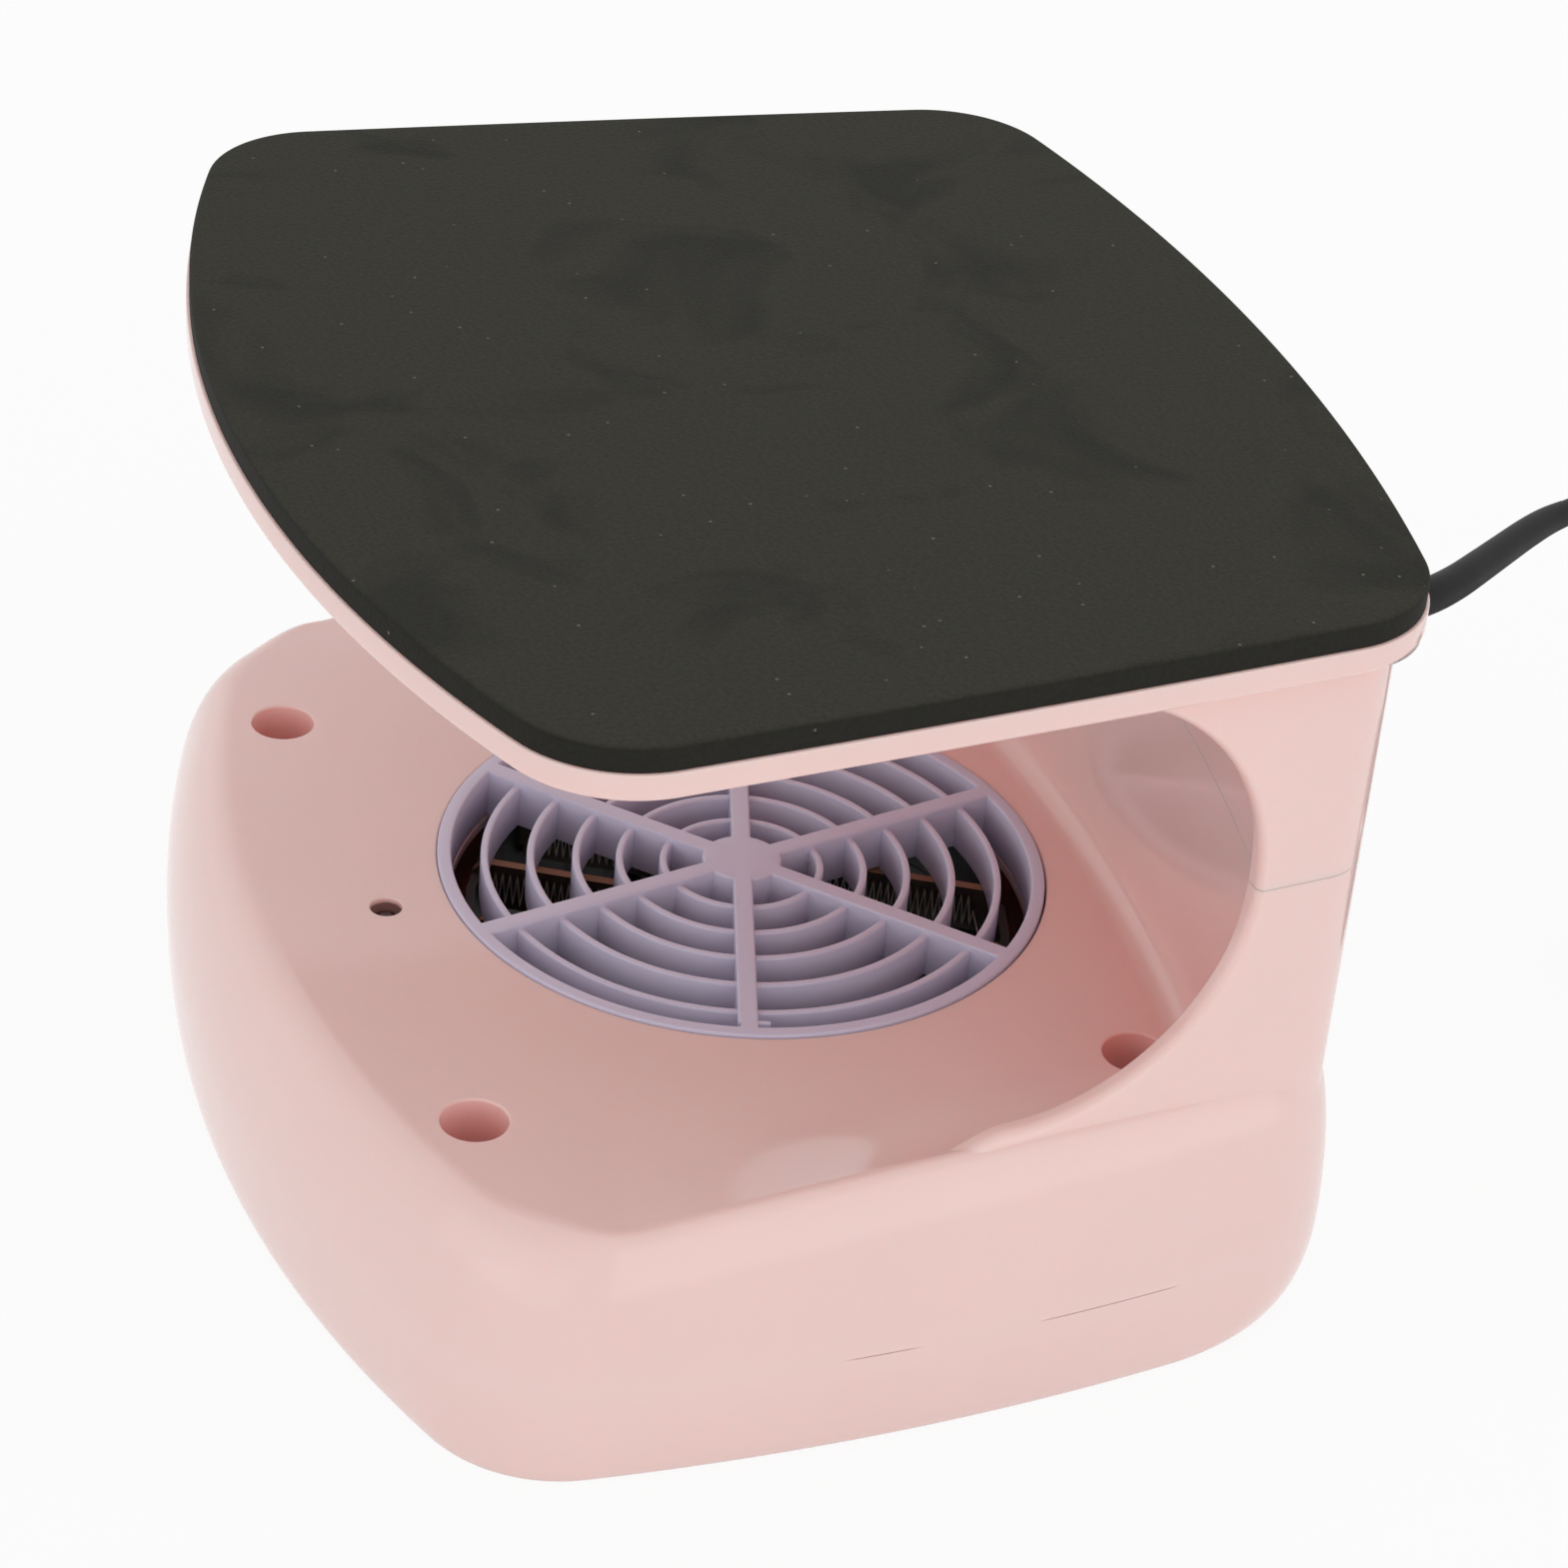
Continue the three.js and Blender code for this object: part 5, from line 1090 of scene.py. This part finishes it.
class DRYER_OT_base_shell(bpy.types.Operator):
    """Makes the base plate with the upper column under it"""

    bl_idname = "dryer.base_shell"
    bl_label = "Base shell"

    def execute(self, context):
        s, look = read_sizes(context), finishes(context)
        right, left = cheek_slot(s)
        column = column_block(s.seam + COLUMN_SEAM, s.plate_low, 3)
        hollow = column_hollow(s.seam - OVERRUN, s.plate_low)
        plan = outline(PAD)
        turn = np.linspace(0, pi / 2, 7)
        under = [ring(plan, 1.0 - 0.45 - sin(t), s.plate_low + 1 - cos(t)) for t in turn]
        top = [ring(plan, -0.45 + 0.2 * (1 - cos(t)), s.plate_high - 0.2 + 0.2 * sin(t))
               for t in turn]
        plate = loft([*under, *top])
        pocket = self.pocket(s)
        steps = [("DIFFERENCE", right), ("DIFFERENCE", left), ("DIFFERENCE", mouth_room(s)),
                 ("DIFFERENCE", hollow), ("UNION", plate), ("DIFFERENCE", pocket)]
        steps += boss_steps(s.seam + FIT / 2, s.plate_high - FIT, 5.4)
        floor = s.plate_high - 18
        for side in (-1, 1):
            x, y = column_screw_place(side)
            steps.append(("DIFFERENCE", rod(x, y, floor, s.plate_high + OVERRUN, 3.4)))
            steps.append(("DIFFERENCE", rod(x, y, s.seam - OVERRUN, floor + FIT, 1.9)))
        steps.append(("DIFFERENCE", box(0, COLUMN["rear"], s.switch - 9.8, s.switch + 9.8,
                                        13.6, WALL * 4)))
        steps.append(("DIFFERENCE", gland_bar(s, 4.2, -WALL * 3, WALL * 3)))
        shell = carved("base_shell_moulding", column, steps)
        dress(shell, look.shell, "pink_plastic", "dryer", "base_shell")
        return {"FINISHED"}

    def pocket(self, s):
        """The tray under the pad: the pad's plan a wall in, less six ribs."""
        plan = outline(PAD, (20, 10, 20, 10, 20))
        tray = loft([ring(plan, WALL, s.plate_low + WALL), ring(plan, WALL, s.plate_high + OVERRUN)])
        ribs = []
        for k in (-1, 0, 1):
            ribs.append(("DIFFERENCE", box(k * 43.8, 0, s.plate_low, s.plate_high - FIT, 1.2, 175)))
            ribs.append(("DIFFERENCE", box(0, k * 43.8, s.plate_low, s.plate_high - FIT, 262, 1.2)))
        return carved_skin("pocket_part", tray, ribs)


class DRYER_OT_outer_shell(bpy.types.Operator):
    """Makes the lower half of the fan housing, with the air intake in its flat underside"""

    bl_idname = "dryer.outer_shell"
    bl_label = "Outer shell"

    def execute(self, context):
        s, look = read_sizes(context), finishes(context)
        turn = np.linspace(0, pi / 2, 26)
        outside = self.skin(0, 0, GIRTH, 1 - np.cos(turn), True)
        inside = self.skin(WALL, WALL, GIRTH + OVERRUN, [0, 0.05, 0.1, 0.4, 1], False)
        bore, ledge = 39.5 + FIT, 0.8 + 3 + FIT
        steps = [
            ("DIFFERENCE", inside),
            ("DIFFERENCE", turned(flared_cut(0, 0, -ledge, 0, bore, s.edge, 128), 180, 0)),
            ("UNION", revolved([[bore, WALL / 2], [bore + WALL, WALL / 2],
                                [bore + WALL, ledge + WALL], [bore, ledge + WALL]], 128)),
            ("UNION", revolved([[bore - WALL, ledge], [bore + WALL / 2, ledge],
                                [bore + WALL / 2, ledge + WALL], [bore - WALL, ledge + WALL]], 128)),
        ]
        boss_top = s.well_floor - WALL - FIT
        steps.append(("UNION", joined(*[rod(x, y, WALL / 2, boss_top, 3.9) for x, y in WELLS])))
        steps.append(("DIFFERENCE", joined(*[rod(x, y, WALL, boss_top + OVERRUN, 1.8)
                                             for x, y in WELLS])))
        ears = [(46.4 * cos(radians(12 + k * 120)), 46.4 * sin(radians(12 + k * 120)))
                for k in range(3)]
        steps.append(("UNION", joined(*[rod(x, y, WALL / 2, s.duct_low - FIT, 4) for x, y in ears])))
        steps.append(("DIFFERENCE", joined(*[rod(x, y, WALL, s.duct_low + OVERRUN, 1.8)
                                             for x, y in ears])))
        shell = carved("outer_shell_moulding", outside, steps)
        dress(shell, look.shell, "pink_plastic", "dryer", "outer_shell")
        return {"FINISHED"}

    def skin(self, gap, low, high, levels, seamed):
        """Rings whose inset and corners follow a quarter circle of the height, from the
        flat underside up to the widest line, where a seamed skin stops short of the seam."""
        rings = []
        for level in levels:
            share = 1 - np.sqrt(max(1 - (1 - level) ** 2, 0))
            form = {**HOUSING, "front_corner": 28 + (23 - 28) * share,
                    "rear_corner": 19 + (38 - 19) * share}
            plan = outline(form)
            z = low + (high - low) * level
            rings.append(ring(plan, 2.6 * share + gap,
                              np.minimum(z, high - seam_opening(plan)) if seamed else z))
        return loft(rings)


class DRYER_OT_foam_pad(bpy.types.Operator):
    """Makes the foam pad on the base plate"""

    bl_idname = "dryer.foam_pad"
    bl_label = "Foam pad"

    def execute(self, context):
        """Rings of the pad's plan: a small rounding under and over, then the flat top drawn
        in by shares towards its middle."""
        s, look = read_sizes(context), finishes(context)
        plan = outline(PAD, (60, 30, 70, 30, 60))
        low, high = s.plate_high + 0.03, s.plate_high + s.pad_thickness
        turn = np.linspace(0, pi / 2, 9)
        under = [ring(plan, 0.12 * (1 - sin(t)), low + 0.12 * (1 - cos(t))) for t in turn[::2]]
        over = [ring(plan, 0.6 * (1 - cos(t)), high - 0.6 + 0.6 * sin(t)) for t in turn]
        rim = over[-1]
        top = [rim * [share, share, 1] for share in np.linspace(0.99, 0.1, 24)]
        pad = plain("foam_pad", loft([*under, *over, *top]), 60)
        dress(pad, look.foam, "foam_pad", "dryer", "anti_slip_pad")
        return {"FINISHED"}


class DRYER_OT_outlet_grille(bpy.types.Operator):
    """Makes the lilac outlet grille"""

    bl_idname = "dryer.outlet_grille"
    bl_label = "Outlet grille"

    def execute(self, context):
        s, look = read_sizes(context), finishes(context)
        base, steps = grille_skin(s.grille_radius, 2.1, 6, s.grille_ring, RING_SHARES,
                                  s.grille_spoke, -18, s.ledge + FIT, s.face_height + 0.4,
                                  s.ring_drop, s.edge)
        high = s.face_height + 0.4
        nib = box(42.6, s.grille_spoke / 2 + 0.7, high - 2, high - 0.12, 0.7, 2.2, 0.2)
        nick = box(43.5, -s.grille_spoke / 2, high - 0.7, high + OVERRUN, 0.9, 0.7)
        steps += [("UNION", turned(nib, -18)), ("DIFFERENCE", turned(nick, -18))]
        base = moved(base, GRILLE_OFF)
        steps = [(operation, moved(solid, GRILLE_OFF)) for operation, solid in steps]
        grille = carved("outlet_grille_moulding", base, steps, 30)
        dress(grille, look.grille, "lilac_plastic", "dryer", "outlet_grille")
        return {"FINISHED"}


class DRYER_OT_intake_grille(bpy.types.Operator):
    """Makes the intake grille in the underside"""

    bl_idname = "dryer.intake_grille"
    bl_label = "Intake grille"

    def execute(self, context):
        s, look = read_sizes(context), finishes(context)
        base, steps = grille_skin(39.5, 2.6, 10, 1.6, INTAKE_SHARES, 2.6, 0, 0.8, 3.8, 0, s.edge)
        grille = carved("intake_grille_moulding", base, steps, 30)
        dress(grille, look.grille, "lilac_plastic", "dryer", "intake_grille")
        return {"FINISHED"}


class DRYER_OT_screws(bpy.types.Operator):
    """Makes the screws of the housing and of the column"""

    bl_idname = "dryer.screws"
    bl_label = "Screws"

    def execute(self, context):
        s, look = read_sizes(context), finishes(context)
        places = [(f"housing_screw_{k + 1}", x, y, s.well_floor + FIT, 18)
                  for k, (x, y) in enumerate(WELLS)]
        for k, side in enumerate((1, -1)):
            x, y = column_screw_place(side)
            places.append((f"column_screw_{k + 1}", x, y, s.plate_high - 18 + FIT, 28))
        for k in range(3):
            turn = radians(12 + k * 120)
            places.append((f"duct_screw_{k + 1}", 46.4 * cos(turn), 46.4 * sin(turn),
                           s.duct_low + 3 + FIT, 6.5))
        for node, x, y, seat, run in places:
            screw = carved(f"{node}_pan_head", screw_skin(x, y, seat, run),
                           cross_recess(x, y, seat + 2.2), 40)
            dress(screw, look.screw, "screw_steel", "dryer", node)
        return {"FINISHED"}


class DRYER_OT_heating_wires(bpy.types.Operator):
    """Makes the two heating wires, bent to and fro up and down the faces of the strips"""

    bl_idname = "dryer.heating_wires"
    bl_label = "Heating wires"

    def execute(self, context):
        """Each row is a triangle wave with rounded tips, the arcsine of most of a sine, run
        along a strip's face; the rows follow each other to and fro."""
        s, look = read_sizes(context), finishes(context)
        top = s.ledge - 1.0
        pitch, height, reach, near = 1.15, 5.4, 38.2, 1.25
        for k, rows in enumerate([(-15 - near, -15 + near, -near), (near, 15 - near, 15 + near)]):
            path = []
            for count, offset in enumerate(rows):
                half = np.sqrt(reach ** 2 - offset ** 2)
                turns = int(half / pitch) * 2
                along = np.linspace(-1, 1, turns * 12 + 1)
                wave = np.arcsin(0.985 * np.sin(along * turns * pi)) / asin(0.985)
                row = np.column_stack([along * turns * pitch / 2, np.full(len(along), offset),
                                       top - height / 2 + wave * height / 2])
                path.append(row if count % 2 == 0 else row[::-1])
            wire = plain(f"heating_wire_{k + 1}", turned(swept(np.vstack(path), 0.14, 6), 60), 60)
            dress(wire, look.wire, "heating_wire", "dryer", f"heater_wire_{k + 1}")
        return {"FINISHED"}


class DRYER_OT_inner_parts(bpy.types.Operator):
    """Gives the fan, the heater and the control board their finishes"""

    bl_idname = "dryer.inner_parts"
    bl_label = "Inner parts"

    def execute(self, context):
        look = finishes(context)
        wanted = {
            "fan_duct": look.dark, "motor_can": look.motor, "motor_screw_1": look.screw,
            "motor_screw_2": look.screw, "motor_shaft": look.motor, "fan_rotor": look.rotor,
            "heater_ring": look.ring, "heater_strip_1": look.mica, "heater_strip_2": look.mica,
            "heater_strip_3": look.mica, "thermal_cutout": look.nickel, "thermal_fuse": look.nickel,
            "control_board": look.board, "board_screw_1": look.screw,
            "board_screw_2": look.screw, "relay": look.relay, "capacitor": look.sleeve,
            "hand_sensor": look.sensor,
        }
        for name, material in wanted.items():
            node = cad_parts[name]
            for place in node.material_slots:
                place.link = "OBJECT"
                place.material = material
        return {"FINISHED"}


class DRYER_OT_power_switch(bpy.types.Operator):
    """Makes the rocker switch in the rear of the column"""

    bl_idname = "dryer.power_switch"
    bl_label = "Power switch"

    def execute(self, context):
        s, look = read_sizes(context), finishes(context)
        face = COLUMN["rear"] + FIT
        bezel = turned(eased_block(0, 0, -1.6, 0, 15, 21, 1.6, 0.4), 90, 0)
        bezel = moved(bezel, [0, face, s.switch])
        back, front = face - 9.4, face + 1.6
        housing = box(0, (back + front - 0.6) / 2, s.switch - 9.5, s.switch + 9.5, 13,
                      front - 0.6 - back)
        room = box(0, (back + 1.6 + front + OVERRUN) / 2, s.switch - 7.7, s.switch + 7.7, 10,
                   front + OVERRUN - back - 1.6)
        body = carved("switch_bezel", bezel, [("UNION", housing), ("DIFFERENCE", room)], 30)
        dress(body, look.dark, "black_plastic", "dryer", "switch_body")
        rocker = plain("switch_paddle", self.paddle(s), 30)
        dress(rocker, look.dark, "black_plastic", "rocker", "power_rocker")
        return {"FINISHED"}

    def paddle(self, s):
        """Paddle whose face is two planes in a shallow V, its section carried across its
        width and drawn in by a quarter circle at both ends, then tilted to rest."""
        half, front, edge = 7.0, 1.5, 0.35
        lift = half * tan(radians(9))
        face_y = np.linspace(-half, half, 25)
        face = np.column_stack([front + np.abs(face_y) / half * lift, face_y])
        back = np.array([[0, half], [-front, half / 2], [-front, -half / 2], [0, -half]])
        loop = np.vstack([face, back])
        middle = np.array([0.6, 0])
        turn = np.linspace(0, pi / 2, 5)
        across = np.concatenate([-4.3 + edge - edge * np.sin(turn[::-1]),
                                 4.3 - edge + edge * np.sin(turn)])
        inset = np.concatenate([edge * (1 - np.cos(turn[::-1])), edge * (1 - np.cos(turn))])
        rings = []
        for x, cut in zip(across, inset):
            drawn = middle + (loop - middle) * (1 - cut / np.array([2.2, half]))
            rings.append(np.column_stack([np.full(len(loop), x), drawn]))
        solid = turned(loft(rings), 9, 0)
        return moved(solid, [0, COLUMN["rear"] + 0.8, s.switch])


class DRYER_OT_stage(bpy.types.Operator):
    """Makes the floor, the soft lights and the pale surroundings"""

    bl_idname = "dryer.stage"
    bl_label = "Stage"

    def execute(self, context):
        ground = context.scene.dryer_colours.ground
        mesh = bpy.data.meshes.new("floor")
        low, high = (-4, -0.45), (0.24, 4)
        mesh.from_pydata([(low[0], low[1], 0), (high[0], low[1], 0), (high[0], high[1], 0),
                          (low[0], high[1], 0)], [], [(0, 1, 2, 3)])
        floor = bpy.data.objects.new("floor", mesh)
        context.scene.collection.objects.link(floor)
        material = bpy.data.materials.new("pale_paper")
        material.use_nodes = True
        tree = material.node_tree
        tree.nodes.clear()
        path = add_node(tree, "ShaderNodeLightPath")
        paper = add_node(tree, "ShaderNodeBsdfDiffuse", {"Color": rgba(ground)})
        glow = add_node(tree, "ShaderNodeEmission", {"Color": rgba(ground), "Strength": 1.0})
        share = add_node(tree, "ShaderNodeMath", {
            0: self.seen(tree, path), 1: 0.9}, operation="MULTIPLY")
        mix = add_node(tree, "ShaderNodeMixShader", {
            "Fac": share.outputs[0], 1: paper.outputs[0], 2: glow.outputs[0]})
        add_node(tree, "ShaderNodeOutputMaterial", {"Surface": mix.outputs[0]})
        mesh.materials.append(material)

        world = context.scene.world or bpy.data.worlds.new("surroundings")
        context.scene.world = world
        world.use_nodes = True
        tree = world.node_tree
        tree.nodes.clear()
        sky = add_node(tree, "ShaderNodeBackground", {"Color": (1, 1, 1, 1), "Strength": 0.78})
        shown = add_node(tree, "ShaderNodeBackground", {"Color": rgba(ground), "Strength": 1.0})
        path = add_node(tree, "ShaderNodeLightPath")
        both = add_node(tree, "ShaderNodeMixShader", {
            "Fac": self.seen(tree, path), 1: sky.outputs[0], 2: shown.outputs[0]})
        add_node(tree, "ShaderNodeOutputWorld", {"Surface": both.outputs[0]})

        self.softbox(context, "softbox_over", (0.05, 0.0, 1.3), 1.0, 1.0, 0.3)
        self.softbox(context, "softbox_right", (1.08, 0.39, 0.22), 1.2, 1.1, 2.6)
        self.softbox(context, "softbox_front", (0.3, -1.2, 0.42), 1.3, 0.8, 1.2)
        self.softbox(context, "softbox_left", (-1.0, -0.75, 0.35), 1.2, 0.8, 0.3)
        self.softbox(context, "softbox_low", (0.75, -0.95, 0.1), 0.9, 0.5, 0.5)
        context.scene.view_settings.view_transform = "Standard"
        return {"FINISHED"}

    def seen(self, tree, path):
        """One for rays from the camera and for rays that mirror or pass through a piece."""
        first = add_node(tree, "ShaderNodeMath", {
            0: path.outputs["Is Camera Ray"], 1: path.outputs["Is Glossy Ray"]},
            operation="MAXIMUM")
        return add_node(tree, "ShaderNodeMath", {
            0: first.outputs[0], 1: path.outputs["Is Transmission Ray"]},
            operation="MAXIMUM").outputs[0]

    def softbox(self, context, name, place, width, height, power):
        data = bpy.data.lights.new(name, "AREA")
        data.shape = "RECTANGLE"
        data.size = width
        data.size_y = height
        data.energy = power
        lamp = bpy.data.objects.new(name, data)
        context.scene.collection.objects.link(lamp)
        place = Vector(place)
        aim = (Vector((0, 0, 0.06)) - place).to_track_quat("-Z", "Y")
        lamp.matrix_world = Matrix.Translation(place) @ aim.to_matrix().to_4x4()


OPERATORS = (
    DRYER_OT_camera, DRYER_OT_lead, DRYER_OT_face_shell, DRYER_OT_base_shell,
    DRYER_OT_outer_shell, DRYER_OT_foam_pad, DRYER_OT_outlet_grille, DRYER_OT_intake_grille,
    DRYER_OT_screws, DRYER_OT_heating_wires, DRYER_OT_inner_parts, DRYER_OT_power_switch,
    DRYER_OT_stage,
)


class DRYER_PT_panel(bpy.types.Panel):
    """Lists the dryer's sizes, colours and pieces"""

    bl_idname = "DRYER_PT_panel"
    bl_label = "Nail polish fan dryer"
    bl_space_type = "VIEW_3D"
    bl_region_type = "UI"
    bl_category = "Dryer"

    def draw(self, context):
        for group in (context.scene.dryer_sizes, context.scene.dryer_colours):
            column = self.layout.column()
            for name in type(group).__annotations__:
                column.prop(group, name)
        for operator in OPERATORS:
            self.layout.operator(operator.bl_idname)


CLASSES = (DryerSizes, DryerColours, *OPERATORS, DRYER_PT_panel)


def register():
    for item in CLASSES:
        bpy.utils.register_class(item)
    bpy.types.Scene.dryer_sizes = bpy.props.PointerProperty(type=DryerSizes)
    bpy.types.Scene.dryer_colours = bpy.props.PointerProperty(type=DryerColours)


def unregister():
    del bpy.types.Scene.dryer_colours
    del bpy.types.Scene.dryer_sizes
    for item in reversed(CLASSES):
        bpy.utils.unregister_class(item)


def main():
    register()
    for operator in OPERATORS:
        group, name = operator.bl_idname.split(".")
        getattr(getattr(bpy.ops, group), name)()


if __name__ == "__main__":
    main()
